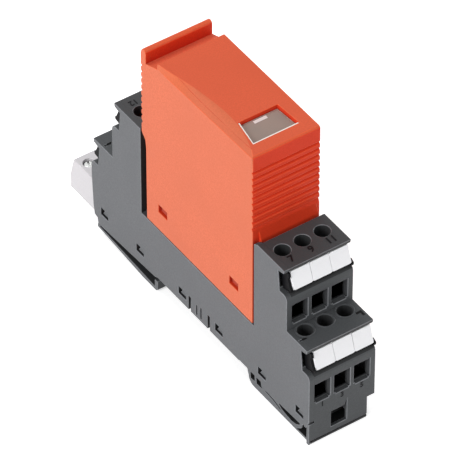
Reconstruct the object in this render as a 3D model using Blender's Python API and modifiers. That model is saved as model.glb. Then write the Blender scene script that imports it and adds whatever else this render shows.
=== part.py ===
"""Pluggable surge arrester for a 35 mm DIN rail: a base with screw terminals and a pull-out plug.

Axes: +X across the module's width, +Y from the rail-foot end to the fixed-hook end, +Z away from
the rail. The origin is on the rail seat, in the middle of the width and of the rail.
Sizes are in millimetres and are turned into metres where a mesh is made.
"""
import math

import bmesh
import bpy
from mathutils import Matrix, Vector

MM = 0.001
COLLECTION = "din_rail_surge_arrester"

# Clearances
SEAM = 0.12            # between two mouldings that are snapped together
REST_GAP = 0.3         # between a piece and what it rests on
SLIDE_GAP = 0.15       # beside a piece that slides
REACH = 3.0            # how far a cutter reaches past the outside

# Whole module
WIDTH = 18.0
BASE_LENGTH = 86.6
COVER_THICK = 1.3
WALL = 1.3
LEFT = -WIDTH / 2
RIGHT = WIDTH / 2
COVER_IN = LEFT + COVER_THICK
BODY_LEFT = COVER_IN + SEAM
END_Y = BASE_LENGTH / 2

# Terminal steps, the same at both ends of the base
LOWER_TOP = 23.9
STEP_RISE = 17.4
STEP_GO = 8.9
SCREW_SET_BACK = 6.9   # from a step's wall to its screws
CAGE_LENGTH = 4.4
BAR_THICK = 0.7
BLOCK_WALL = 1.1       # between the upper contact bars and the plug's bay
BAR_BACK = SCREW_SET_BACK + CAGE_LENGTH / 2 + REST_GAP + BAR_THICK
BLOCK_DEPTH = BAR_BACK + BLOCK_WALL
UPPER_TOP = LOWER_TOP + STEP_RISE
UPPER_Y = END_Y - STEP_GO
BLOCK_IN_Y = UPPER_Y - BLOCK_DEPTH
SHELF_FRONT = 1.05     # set-back of a step's top edge from its wall
GROOVE_DEPTH = 3.4     # depth of the marker groove
GROOVE_LIP = 1.0
GROOVE_DROP = 7.2
LEDGE_ROUND = 1.3

# Terminals
EDGE_MARGIN = 0.975    # beside the outermost terminals
PITCH = (WIDTH - 2 * EDGE_MARGIN) / 3
COLUMNS = (-PITCH, 0.0, PITCH)
WELL_RIB = 1.45        # between two screw wells
CHAMBER_RIB = 0.75     # between two clamp chambers
ENTRY_RIB = 0.95       # between two wire entries
HEAD_ROOM = 0.2
SIDE_ROOM = 0.25       # beside a cage and beside its screw
HEAD_SEAT_DROP = 5.5
CHAMBER_TOP_DROP = 6.3
CHAMBER_LOW_DROP = 15.8
CHAMBER_WIDTH = PITCH - CHAMBER_RIB
CHAMBER_BACK = SCREW_SET_BACK + CAGE_LENGTH / 2 + 0.8
FRONT_WALL = 1.5
ENTRY_WIDTH = PITCH - ENTRY_RIB
ENTRY_TAPER = 0.4      # how much a wire entry narrows on each side
ENTRY_HEIGHT = 5.4
ENTRY_DROP = 13.0      # from a step's top down to the middle of its wire entry
SILL_DROP = 0.5        # how far a wire entry's sloping sill is down at the wall's face
SCREW_HOLE_R = (PITCH - WELL_RIB) / 2
HEAD_R = SCREW_HOLE_R - HEAD_ROOM
HEAD_HEIGHT = 1.6
SLOT_WIDTH = 0.6
SLOT_DEPTH = 0.8
CAGE_WIDTH = CHAMBER_WIDTH - 2 * SIDE_ROOM
CAGE_WALL = 0.55
CAGE_FLOOR = 0.8
CAGE_ROOF = 1.4
SHANK_R = CAGE_WIDTH / 2 - CAGE_WALL - SIDE_ROOM
SHANK_HOLE_R = SHANK_R + REST_GAP
BAR_WIDTH = CAGE_WIDTH - 2 * (CAGE_WALL + REST_GAP)
BAR_DROP = 10.8        # from a step's top down to the bar's middle
BAR_ROOM = 0.3

# Bay of the plug and the contact room below its floor
FLOOR_TOP = 15.5
FLOOR_THICK = 1.3
ROOM_LOW = 1.5
ROOM_Y = BLOCK_IN_Y - 0.2
PLUG_LOW = FLOOR_TOP + REST_GAP
BLADE_ROWS = (BLOCK_IN_Y - 4.6, BLOCK_IN_Y - 8.75)
BLADE_THICK = 0.8
BLADE_WIDTH = BAR_WIDTH
BLADE_LENGTH = 6.8
SOCKET_GAP = 1.4
SOCKET_LOW = 8.0

# Rail: hook, seat and foot
RAIL_HALF = 17.5
RAIL_THICK = 1.0
FOOT_LOW = -4.5
HOOK_REACH = 1.0
HOOK_TOP = -RAIL_THICK - REST_GAP
HOOK_POCKET = 0.9
SEAT_HALF = RAIL_HALF - HOOK_REACH - REST_GAP
SEAT_RELIEF = 0.2      # how much the underside stands back beside the seat
RELIEF_RISE = 0.1      # and how much more of that there is farther out
LIP_THICK = 1.0
CHANNEL_DEPTH = 2.0
FOOT_LEFT = LEFT + 0.6
FOOT_RIGHT = RIGHT - 2.0
FOOT_CORE_HALF = 4.0
FOOT_WALL = 0.9        # wall of the base in front of the foot
SKID = 0.7
FOOT_NOSE = 0.9
FOOT_TRAVEL = 1.6      # how far the foot pulls out to let go of the rail
HEEL_R = 2.2
ARM_END_Y = -END_Y + FOOT_WALL + FOOT_TRAVEL + 0.7
# Lens-shaped gap over the spring arm and the slit in it: share of the arm's reach, height
ARM_LENS = ((0.362, -1.4), (0.434, -2.4), (0.539, -2.85), (0.711, -3.15), (0.829, -2.8))
ARM_SLIT = ((0.033, -2.0), (0.033, -2.25), (0.257, -2.6), (0.434, -3.3), (0.428, -3.0), (0.257, -2.3))
GUIDE_HALF = 1.5
GUIDE_HEAD_HALF = 3.2
GUIDE_NECK = 2.0
GUIDE_HEAD = 1.3
RELEASE_X = (-2.9, 1.4)
RELEASE_Z = (-2.0, 2.8)
RELEASE_PEAK = 1.5     # how far the release slot's right corner rises

# Snap windows in the two covers, with the catches that show in them
BASE_WINDOWS_Y = (-END_Y + 3.7, -RAIL_HALF - 7.5, -8.1, 6.5, RAIL_HALF + 6.1, END_Y - 5.1)
BASE_WINDOW_Z = 3.1
BASE_WINDOW = (3.0, 2.2)
CATCH_GAP = 0.25
CATCH_SET_BACK = 0.45  # of a catch from the cover's outer face
CATCH_THICK = 0.8
POCKET_DEPTH = 3.6

# Marker strips
STRIP_LEFT = LEFT + 1.8
STRIP_RIGHT = RIGHT - 0.6
STRIP_THICK = 1.2
STRIP_TOP = (1.35, 1.25)       # set-back and drop of the outer face's top edge
STRIP_LOW = (-0.25, 5.8)
TILES = 3

# Plug
PLUG_FRONT = -BLOCK_IN_Y + 1.9
PLUG_REAR = BLOCK_IN_Y - 2.7
GRIP_OUT = 1.7
GRIP_REAR = PLUG_REAR + GRIP_OUT
GRIP_LOW = UPPER_TOP - 0.2
PLUG_TOP = 65.85
LIP_TOP = PLUG_TOP + 0.45
LIP_WIDTH = 1.7
LIP_GROOVE = 6.6       # from the rear grip to where the top's groove starts
GROOVE_LOW = 3.25      # how deep the groove before the pull lip is
RIB_PITCH = 1.85
RIB_DEPTH = 0.45
RIB_FIRST = UPPER_TOP + 4.0
RIB_TOP_ROOM = 3.0     # plain part of the grip over the ribs, at least
RIBS = int((PLUG_TOP - RIB_TOP_ROOM - RIB_FIRST) / RIB_PITCH)
PLUG_WALL = 1.2
SKIRT_Z = (UPPER_TOP - 1.8, UPPER_TOP + 0.3)
SKIRT_OUT = 1.1
CRESCENT_INSET = 3.6
CRESCENT_WIDEST = 0.37         # where the bevel is widest, as a share of its length from the front
PLUG_WINDOWS_Y = (PLUG_FRONT + 7.3, PLUG_REAR - 6.45)
PLUG_WINDOW_Z = 22.35
PLUG_WINDOW = (3.4, 2.3)
PLUG_CATCH_GAP = 0.5
LENS_REAR_Y = PLUG_FRONT + 11.1
LENS_FRONT_Y = PLUG_FRONT + 3.6
LENS_REAR_X = (LEFT + 3.8, RIGHT - 3.7)
LENS_FRONT_X = (LEFT + 2.6, RIGHT - 3.2)
LENS_DROP = 0.9
LENS_THICK = 1.2

# Inside the plug
BOARD_THICK = 1.6
BOARD_X = RIGHT - 7.8
BOARD_MARGIN = 1.0
BOARD_RISE = 3.2       # of the board's edge over the plug's floor
TUBE_R = (BOARD_X - REST_GAP - COVER_IN - 0.8) / 2
TUBE_LENGTH = 8.0
TUBE_RISES = (13.7, 25.2)      # of the tubes' axes over the plug's underside
DIODE = (3.0, 8.0, 4.3)
DIODE_RISE = 5.1
TUBE_SET_BACK = 8.5
DIODE_SET_BACK = 7.3

# Pull-off signalling connector at the hook end
SIGNAL_PITCH = PITCH - 0.27
SIGNAL_HALF = 1.5 * SIGNAL_PITCH - 0.22
SIGNAL_LOW = -1.6
SIGNAL_TOP = 8.0
SIGNAL_OUT = 11.3
SIGNAL_IN = 5.0
SIGNAL_TONGUE = (0.4, 6.2)
SIGNAL_TONGUE_HALF = SIGNAL_HALF - 1.0
SIGNAL_SCREW_HOLE_R = 1.5
SIGNAL_SCREW_R = SIGNAL_SCREW_HOLE_R - 0.25
SIGNAL_SCREW_Y = 6.8
SIGNAL_SCREW_DROP = 0.5

PLASTIC = 0.45


def clear_scene():
    for item in list(bpy.data.objects):
        bpy.data.objects.remove(item, do_unlink=True)


def collection(name):
    made = bpy.data.collections.new(name)
    bpy.context.scene.collection.children.link(made)
    return made


def material(name, colour, roughness=PLASTIC, metallic=0.0, alpha=1.0):
    made = bpy.data.materials.new(name)
    made.use_nodes = True
    shader = made.node_tree.nodes["Principled BSDF"]
    shader.inputs["Base Color"].default_value = (*colour, 1.0)
    shader.inputs["Roughness"].default_value = roughness
    shader.inputs["Metallic"].default_value = metallic
    shader.inputs["Alpha"].default_value = alpha
    made.diffuse_color = (*colour, alpha)
    return made


def arc(centre, radius, start, end, steps):
    """Points on an arc in the outline's plane; the angles are in degrees."""
    points = []
    for i in range(steps + 1):
        angle = math.radians(start + (end - start) * i / steps)
        points.append((centre[0] + radius * math.cos(angle), centre[1] + radius * math.sin(angle)))
    return points


def flip(points, side):
    """Mirrors an outline in Y for the rear end and keeps its direction round the shape."""
    return points if side < 0 else [(-y, z) for y, z in reversed(points)]


def mesh_object(name, mesh, where):
    made = bpy.data.objects.new(name, mesh)
    where.objects.link(made)
    return made


def settle(mesh):
    """Merges doubled points, joins the facets of each flat face and turns every face outwards."""
    work = bmesh.new()
    work.from_mesh(mesh)
    bmesh.ops.remove_doubles(work, verts=work.verts, dist=0.000001)
    bmesh.ops.dissolve_limit(work, angle_limit=0.0005, verts=work.verts, edges=work.edges)
    bmesh.ops.recalc_face_normals(work, faces=work.faces)
    work.to_mesh(mesh)
    work.free()


TURN_SIDE = Matrix(((0, 0, 1, 0), (1, 0, 0, 0), (0, 1, 0, 0), (0, 0, 0, 1)))
TURN_FLAT = Matrix.Identity(4)
TURN_FRONT = Matrix(((1, 0, 0, 0), (0, 0, -1, 0), (0, 1, 0, 0), (0, 0, 0, 1)))


def prism(name, outlines, low, high, where, turn=TURN_SIDE):
    """Extrudes flat outlines; the first is the edge and any others are holes.

    TURN_SIDE takes (y, z) points and extrudes along X, TURN_FLAT (x, y) along Z and
    TURN_FRONT (x, z) along -Y.
    """
    curve = bpy.data.curves.new(name, "CURVE")
    curve.dimensions = "2D"
    curve.fill_mode = "BOTH"
    curve.extrude = (high - low) / 2 * MM
    for outline in outlines:
        spline = curve.splines.new("POLY")
        spline.points.add(len(outline) - 1)
        for point, (u, v) in zip(spline.points, outline):
            point.co = (u * MM, v * MM, 0.0, 1.0)
        spline.use_cyclic_u = True
    holder = mesh_object(name + "_outline", curve, where)
    holder.matrix_world = turn @ Matrix.Translation((0, 0, (low + high) / 2 * MM))
    bpy.context.view_layer.update()
    view = holder.evaluated_get(bpy.context.evaluated_depsgraph_get())
    mesh = bpy.data.meshes.new_from_object(view)
    mesh.transform(holder.matrix_world)
    bpy.data.objects.remove(holder, do_unlink=True)
    bpy.data.curves.remove(curve)
    settle(mesh)
    mesh.name = name
    return mesh_object(name, mesh, where)


def boxes(name, spans, where):
    """One object of separate boxes, each given as its low and high corner."""
    work = bmesh.new()
    for low, high in spans:
        middle = Vector([(a + b) / 2 * MM for a, b in zip(low, high)])
        size = [abs(b - a) * MM for a, b in zip(low, high)]
        place = Matrix.Translation(middle) @ Matrix.Diagonal((*size, 1.0))
        bmesh.ops.create_cube(work, size=1.0, matrix=place)
    mesh = bpy.data.meshes.new(name)
    work.to_mesh(mesh)
    work.free()
    return mesh_object(name, mesh, where)


def rods(name, spans, radius, sides, where, axis="Z"):
    """One object of separate round rods; each span is (x, y, low, high), or (x, z, low, high) along Y."""
    work = bmesh.new()
    for a, b, low, high in spans:
        middle = (a, b, (low + high) / 2) if axis == "Z" else (a, (low + high) / 2, b)
        place = Matrix.Translation(Vector(middle) * MM)
        if axis == "Y":
            place = place @ Matrix.Rotation(math.radians(90), 4, "X")
        bmesh.ops.create_cone(work, cap_ends=True, segments=sides, radius1=radius * MM,
                              radius2=radius * MM, depth=(high - low) * MM, matrix=place)
    mesh = bpy.data.meshes.new(name)
    work.to_mesh(mesh)
    work.free()
    return mesh_object(name, mesh, where)


def turned(name, profile, centre, sides, where):
    """Turns an (r, z) profile round a vertical axis; it runs from top to bottom on its outer side."""
    mesh = bpy.data.meshes.new(name)
    points = [(r * MM, 0.0, z * MM) for r, z in profile]
    mesh.from_pydata(points, [(i, i + 1) for i in range(len(points) - 1)], [])
    made = mesh_object(name, mesh, where)
    made.location = Vector(centre) * MM
    screw = made.modifiers.new("turn", "SCREW")
    screw.axis = "Z"
    screw.steps = sides
    screw.render_steps = sides
    screw.use_merge_vertices = True
    screw.merge_threshold = 0.00001
    return made


def baked(made):
    """Replaces an object's mesh with what its modifiers give."""
    bpy.context.view_layer.update()
    view = made.evaluated_get(bpy.context.evaluated_depsgraph_get())
    mesh = bpy.data.meshes.new_from_object(view)
    made.modifiers.clear()
    made.data = mesh
    settle(mesh)
    return made


def cut(target, cutter, how="DIFFERENCE"):
    cutter.hide_render = True
    cutter.display_type = "WIRE"
    step = target.modifiers.new(how.lower() + "_" + cutter.name, "BOOLEAN")
    step.operation = how
    step.solver = "EXACT"
    step.object = cutter


def shade(made):
    made.data.shade_smooth()
    made.data.set_sharp_from_angle(angle=math.radians(35))


def finish(made, look):
    made.data.materials.clear()
    made.data.materials.append(look)
    return made


def step_at(upper):
    """Wall place and top height of the lower or the upper terminal step."""
    return (UPPER_Y, UPPER_TOP) if upper else (END_Y, LOWER_TOP)


def terminals():
    """Every terminal: its name, end (-1 foot end, +1 hook end), column and step."""
    for side, end in ((-1, "front"), (1, "rear")):
        for upper, level in ((False, "lower"), (True, "upper")):
            for number, x in enumerate(COLUMNS, start=1):
                yield f"{end}_{level}_{number}", side, upper, x


def step_profile(wall, top):
    """Front-end outline of one step, from its wall up to its top's outer edge."""
    face = -wall
    ledge = top - GROOVE_DROP
    return [
        *arc((face + LEDGE_ROUND, ledge - LEDGE_ROUND), LEDGE_ROUND, 180, 90, 3),
        (face + GROOVE_DEPTH - 0.6, ledge),
        (face + GROOVE_DEPTH, top - GROOVE_LIP - 0.5),
        (face + SHELF_FRONT + 0.2, top - GROOVE_LIP),
        (face + SHELF_FRONT, top),
    ]


def front_steps(inner_y):
    """The stepped edge of the foot end, from the wall's foot to the plug's bay."""
    return [
        *step_profile(END_Y, LOWER_TOP),
        (-UPPER_Y, LOWER_TOP),
        *step_profile(UPPER_Y, UPPER_TOP),
        (-inner_y, UPPER_TOP),
    ]


def base_outline():
    """Side outline of the base body, with its fixed hook."""
    hook_end = RAIL_HALF - HOOK_REACH
    rear_low = END_Y - 2.1
    return [
        (-END_Y, FOOT_LOW),
        *front_steps(BLOCK_IN_Y),
        (-BLOCK_IN_Y, FLOOR_TOP),
        (BLOCK_IN_Y, FLOOR_TOP),
        *flip(front_steps(BLOCK_IN_Y), 1),
        (END_Y, 12.0),
        (END_Y - 0.5, 2.9),
        (END_Y - 0.9, 0.5),
        (rear_low, -0.2),
        (rear_low, -2.9),
        (hook_end + 6.0, FOOT_LOW),
        (hook_end + 0.6, FOOT_LOW),
        (hook_end, FOOT_LOW + 0.6),
        (hook_end, HOOK_TOP),
        (RAIL_HALF + HOOK_POCKET, HOOK_TOP),
        (RAIL_HALF + HOOK_POCKET, SEAT_RELIEF + RELIEF_RISE),
        (SEAT_HALF, SEAT_RELIEF),
        (SEAT_HALF, 0.0),
        (-SEAT_HALF, 0.0),
        (-SEAT_HALF, SEAT_RELIEF),
        (-END_Y + FOOT_WALL, SEAT_RELIEF + 2 * RELIEF_RISE),
        (-END_Y + FOOT_WALL, FOOT_LOW),
    ]


def cover_low_edge():
    """Lower edge of the base's side cover, from its rounded tab at the foot end to the hook end."""
    front = -END_Y
    step = -RAIL_HALF - 7.1
    return [
        (front + 0.5, 1.9),
        *arc((front + 1.5, 0.8), 0.75, 190, 325, 4),
        (front + 2.7, -0.35),
        (front + 5.2, -0.45),
        ((front + 5.2 + step) / 2, -0.75),
        (step - 0.3, -1.25),
        (step, SEAT_RELIEF),
        (-SEAT_HALF, SEAT_RELIEF),
        (-SEAT_HALF, 0.0),
        (RAIL_HALF - HOOK_REACH, 0.0),
        (RAIL_HALF, -0.5),
        (END_Y - 2.4, -1.9),
    ]


def terminal_spaces(where):
    """Cutters for the screw wells, clamp chambers and wire entries."""
    wells, shanks, rooms, entries, sills = [], [], [], [], []
    for _, side, upper, x in terminals():
        wall, top = step_at(upper)
        centre_y = side * (wall - SCREW_SET_BACK)
        wells.append((x, centre_y, top - HEAD_SEAT_DROP, top + REACH))
        shanks.append((x, centre_y, top - CHAMBER_TOP_DROP - REACH / 2, top - HEAD_SEAT_DROP + REACH / 2))
        half = CHAMBER_WIDTH / 2
        near = side * (wall - FRONT_WALL)
        far = side * (wall - CHAMBER_BACK)
        rooms.append(((x - half, min(near, far), top - CHAMBER_LOW_DROP),
                      (x + half, max(near, far), top - CHAMBER_TOP_DROP)))
        taper = ENTRY_TAPER / FRONT_WALL
        outer, inner = side * (wall + 1.0), side * (wall - FRONT_WALL - 0.5)
        wide, narrow = ENTRY_WIDTH / 2 + taper, ENTRY_WIDTH / 2 - ENTRY_TAPER - taper * 0.5
        funnel = [(x - wide, outer), (x + wide, outer), (x + narrow, inner), (x - narrow, inner)]
        middle = top - ENTRY_DROP
        entries.append(prism(f"cut_entry_{len(entries)}", [funnel if side < 0 else funnel[::-1]],
                             middle - ENTRY_HEIGHT / 2, middle + ENTRY_HEIGHT / 2, where, TURN_FLAT))
        low = middle - ENTRY_HEIGHT / 2
        sill = [(-wall - 1.0, low + REST_GAP), (-wall - 1.0, low - SILL_DROP * (1 + 1 / FRONT_WALL)),
                (-wall, low - SILL_DROP), (-wall + FRONT_WALL, low + REST_GAP)]
        half = ENTRY_WIDTH / 2 - ENTRY_TAPER - 0.1
        sills.append(prism(f"cut_sill_{len(sills)}", [flip(sill, side)], x - half, x + half, where))
    return [
        rods("cut_screw_wells", wells, SCREW_HOLE_R, 16, where),
        rods("cut_shank_holes", shanks, SHANK_HOLE_R, 12, where),
        boxes("cut_clamp_chambers", rooms, where),
        join_meshes("cut_wire_entries", entries, where),
        join_meshes("cut_entry_sills", sills, where),
    ]


def bar_path(upper):
    """Middle line of a front contact bar in (y, z), from its clamp to its socket."""
    wall, top = step_at(upper)
    start = (-wall + SCREW_SET_BACK - CAGE_LENGTH / 2 + 0.2, top - BAR_DROP)
    row = BLADE_ROWS[0] if upper else BLADE_ROWS[1]
    leaf = (BLADE_THICK + SOCKET_GAP) / 2 - 0.05
    leaf_top = FLOOR_TOP - FLOOR_THICK - REST_GAP - BAR_THICK / 2
    if upper:
        drop_y = -wall + BAR_BACK - BAR_THICK / 2
        return [start, (drop_y, start[1]), (drop_y, leaf_top), (-row - leaf, leaf_top),
                (-row - leaf, SOCKET_LOW), (-row + leaf, SOCKET_LOW), (-row + leaf, leaf_top)]
    drop_y = -END_Y + CHAMBER_BACK + 1.4
    low = SOCKET_LOW - 3.0
    turn_y = -row + leaf + 1.4
    return [start, (drop_y, start[1]), (drop_y, low), (turn_y, low), (turn_y, leaf_top),
            (-row + leaf, leaf_top), (-row + leaf, SOCKET_LOW), (-row - leaf, SOCKET_LOW),
            (-row - leaf, leaf_top)]


def thicken(path, half):
    """Outline of a strip bent along a path of level and upright runs."""
    left, right = [], []
    for i, point in enumerate(path):
        before = Vector(point) - Vector(path[i - 1]) if i > 0 else None
        after = Vector(path[i + 1]) - Vector(point) if i < len(path) - 1 else None
        a = (before or after).normalized()
        b = (after or before).normalized()
        normal_a, normal_b = Vector((-a.y, a.x)), Vector((-b.y, b.x))
        offset = (normal_a + normal_b) / (1 + normal_a.dot(normal_b))
        left.append(tuple(Vector(point) + offset * half))
        right.append(tuple(Vector(point) - offset * half))
    return left + right[::-1]


def bar_slots(where):
    """Cutters for the ways of the contact bars through the solid of the base."""
    made = []
    half_x = BAR_WIDTH / 2 + BAR_ROOM
    for side, end in ((-1, "front"), (1, "rear")):
        for upper, level in ((False, "lower"), (True, "upper")):
            path = bar_path(upper)
            wall, _ = step_at(upper)
            start = (-wall + CHAMBER_BACK - 1.0, path[0][1])
            last = (-ROOM_Y + 1.0, path[2][1])
            way = [start, path[1], path[2], last]
            outline = flip(thicken(way, BAR_THICK / 2 + BAR_ROOM), side)
            for number, x in enumerate(COLUMNS, start=1):
                name = f"cut_bar_{end}_{level}_{number}"
                made.append(prism(name, [outline], x - half_x, x + half_x, where))
    return made


def join_meshes(name, parts, where):
    """Joins cutters that don't touch each other into one object."""
    work = bmesh.new()
    for part in parts:
        work.from_mesh(part.data)
    for part in parts:
        old = part.data
        bpy.data.objects.remove(part, do_unlink=True)
        bpy.data.meshes.remove(old)
    mesh = bpy.data.meshes.new(name)
    work.to_mesh(mesh)
    work.free()
    return mesh_object(name, mesh, where)


def catch(name, y, where):
    """The two solids of a catch: the slanted tab that shows in the cover's window, and its post."""
    half_y, half_z = BASE_WINDOW[0] / 2 - CATCH_GAP, BASE_WINDOW[1] / 2 - CATCH_GAP
    low, high = BASE_WINDOW_Z - half_z, BASE_WINDOW_Z + half_z
    tab = [(y - half_y + 0.4, low), (y + half_y, low), (y + half_y * 0.1, high), (y - half_y, high),
           (y - half_y, low + 0.5)]
    post = [(y - half_y + 0.5, ROOM_LOW - 0.5), (y + half_y - 0.5, ROOM_LOW - 0.5), (y, high - 0.1),
            (y - half_y + 0.5, high - 0.1)]
    inner = BODY_LEFT + CATCH_THICK
    return (prism("add_tab_" + name, [tab], LEFT + CATCH_SET_BACK, inner - 0.3, where),
            prism("add_post_" + name, [post], BODY_LEFT + 0.1, inner, where))


def window_boxes(name, centres, z, size, where):
    spans = []
    for y in centres:
        spans.append(((LEFT - 1.0, y - size[0] / 2, z - size[1] / 2),
                      (COVER_IN + SEAM / 2, y + size[0] / 2, z + size[1] / 2)))
    return boxes(name, spans, where)


def blade_slots(side_room, half, low, high):
    """Boxes for the slots that the plug's contact blades pass through."""
    spans = []
    for y in [side * row for side in (-1, 1) for row in BLADE_ROWS]:
        for x in COLUMNS:
            reach = BLADE_WIDTH / 2 + side_room
            spans.append(((x - reach, y - half, low), (x + reach, y + half, high)))
    return spans


def make_base_body(parts, cutters, look):
    body = prism("base_body", [base_outline()], LEFT, RIGHT, parts)
    low = [(y, z - SEAM) for y, z in cover_low_edge()]
    near, far = -END_Y - REACH, END_Y + REACH
    room = [(near, low[0][1]), *low, (far, low[-1][1]), (far, UPPER_TOP + REACH), (near, UPPER_TOP + REACH)]
    cut(body, prism("cut_cover_room", [room], LEFT - REACH, BODY_LEFT, cutters))
    front = -END_Y
    past_wall = front + FOOT_WALL + 0.4
    right_trim = ((FOOT_RIGHT, front - REACH, FOOT_LOW - 1.0), (RIGHT + REACH, past_wall, 1.8))
    release = ((RELEASE_X[0], front - REACH, RELEASE_Z[0]),
               (RELEASE_X[1], front + FRONT_WALL + REACH, RELEASE_Z[1]))
    cut(body, boxes("cut_front_trims", [right_trim, release], cutters))
    peak = [(RELEASE_X[1] - 0.9, RELEASE_Z[1] - 0.3), (RELEASE_X[1], RELEASE_Z[1] - 0.3),
            (RELEASE_X[1], RELEASE_Z[1] + RELEASE_PEAK)]
    cut(body, prism("cut_release_corner", [peak], END_Y - FRONT_WALL, END_Y + REACH, cutters, TURN_FRONT))
    skid_way = ((FOOT_LEFT - SLIDE_GAP, front - REACH, FOOT_LOW - 1.0),
                (RIGHT + REACH, past_wall, FOOT_LOW + SKID + REST_GAP))
    cut(body, boxes("cut_skid_way", [skid_way], cutters))
    for cutter in terminal_spaces(cutters):
        cut(body, cutter)
    cut(body, join_meshes("cut_bar_ways", bar_slots(cutters), cutters))
    ceiling = FLOOR_TOP - FLOOR_THICK
    slots = blade_slots(BAR_ROOM, SOCKET_GAP / 2, ceiling - 0.5, FLOOR_TOP + 1.0)
    contact_room = ((BODY_LEFT - REACH, -ROOM_Y, ROOM_LOW), (RIGHT - WALL, ROOM_Y, ceiling))
    cut(body, boxes("cut_contact_room", [contact_room], cutters))
    cut(body, boxes("cut_blade_slots", slots, cutters))
    neck = GUIDE_HALF + SLIDE_GAP
    head = GUIDE_HEAD_HALF + SLIDE_GAP
    track_y = (front + FOOT_WALL + 1.2, -RAIL_HALF - 6.5)
    head_low, head_top = GUIDE_NECK - SLIDE_GAP, GUIDE_NECK + GUIDE_HEAD + SLIDE_GAP
    neck_way = ((-neck, track_y[0], -1.0), (neck, track_y[1], head_low + 0.5))
    head_way = ((-head, track_y[0], head_low), (head, track_y[1], head_top))
    cut(body, boxes("cut_foot_track_neck", [neck_way], cutters))
    cut(body, boxes("cut_foot_track_head", [head_way], cutters))
    channel = [(RAIL_HALF + 0.2, FOOT_LOW + LIP_THICK), (END_Y - 3.1, -2.3), (END_Y - 3.1, -0.9),
               (RAIL_HALF + 0.2, 0.6)]
    cut(body, prism("cut_hook_channel", [channel], LEFT - REACH, LEFT + CHANNEL_DEPTH, cutters))
    half = SIGNAL_TONGUE_HALF + BAR_ROOM
    pocket = ((-half, END_Y - SIGNAL_IN - REST_GAP, SIGNAL_TONGUE[0] - BAR_ROOM),
              (half, END_Y + REACH, SIGNAL_TONGUE[1] + BAR_ROOM))
    cut(body, boxes("cut_signal_pocket", [pocket], cutters))
    pockets = [((BODY_LEFT - REACH, y - BASE_WINDOW[0] / 2 - 0.1, ROOM_LOW + 0.2),
                (BODY_LEFT + POCKET_DEPTH, y + BASE_WINDOW[0] / 2 + 0.1, BASE_WINDOW_Z + 0.85))
               for y in BASE_WINDOWS_Y if abs(y) > ROOM_Y - 2.0]
    cut(body, boxes("cut_catch_pockets", pockets, cutters))
    tabs, posts = zip(*[catch(str(i), y, cutters) for i, y in enumerate(BASE_WINDOWS_Y)])
    cut(body, join_meshes("add_catch_posts", posts, cutters), "UNION")
    cut(body, join_meshes("add_catch_tabs", tabs, cutters), "UNION")
    return finish(body, look)


def make_base_cover(parts, cutters, look):
    low = cover_low_edge()
    corner = BLOCK_IN_Y - 1.4
    front = front_steps(BLOCK_IN_Y)
    rear = flip(front_steps(BLOCK_IN_Y - 0.4), 1)
    outline = [
        (-END_Y, 2.4), *front, (-corner, UPPER_TOP - 0.8), (-corner, FLOOR_TOP),
        (BLOCK_IN_Y - 0.4, FLOOR_TOP), *rear, (END_Y, 12.0), (END_Y - 0.5, 2.9), (END_Y - 0.9, 0.2),
        (END_Y - 2.1, -0.2), *reversed(low),
    ]
    cover = prism("base_side_cover", [outline], LEFT, COVER_IN, parts)
    cut(cover, window_boxes("cut_base_windows", BASE_WINDOWS_Y, BASE_WINDOW_Z, BASE_WINDOW, cutters))
    slots = [((LEFT - 1, y - w / 2, low_z), (COVER_IN + 1, y + w / 2, high_z)) for y, w, low_z, high_z in (
        (-4.1, 0.8, -1.0, 4.3), (3.5, 0.8, -1.0, 4.3), (-1.0, 0.35, 0.9, 4.2), (0.7, 0.35, 0.9, 3.8))]
    cut(cover, boxes("cut_tongue_slots", slots, cutters))
    return finish(cover, look)


def foot_outline():
    """Side outline of the rail foot: heel, two notches, spring arm with its bent end, and skid."""
    top = -SLIDE_GAP
    rail = -RAIL_HALF
    arm = ARM_END_Y
    notch_low = FOOT_LOW + 1.9
    skid_top = FOOT_LOW + SKID
    spring, reach = rail - 7.4, rail - 7.4 - arm
    lens = [(spring - reach * share, z) for share, z in ARM_LENS]
    return [
        (-END_Y + 0.1, FOOT_LOW),
        *arc((rail - 1.5 - HEEL_R, FOOT_LOW + HEEL_R), HEEL_R, -90, 0, 5),
        (rail - 1.0, top - 0.8), (rail - 0.9, top), (rail - 2.25, top), (rail - 2.45, notch_low),
        (rail - 3.9, notch_low + 0.1), (rail - 3.8, top), (rail - 4.6, top), (rail - 4.7, notch_low),
        (rail - 6.9, notch_low + 0.1), (rail - 6.9, -1.65), *lens, (arm + 1.3, -2.0), (arm + 0.9, -0.75),
        (arm + 0.2, -0.75), (arm, -1.2), (arm + 0.3, -2.2), (arm + 1.0, -2.95), (arm + 2.1, skid_top),
        (-END_Y + 0.1, skid_top),
    ]


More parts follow.
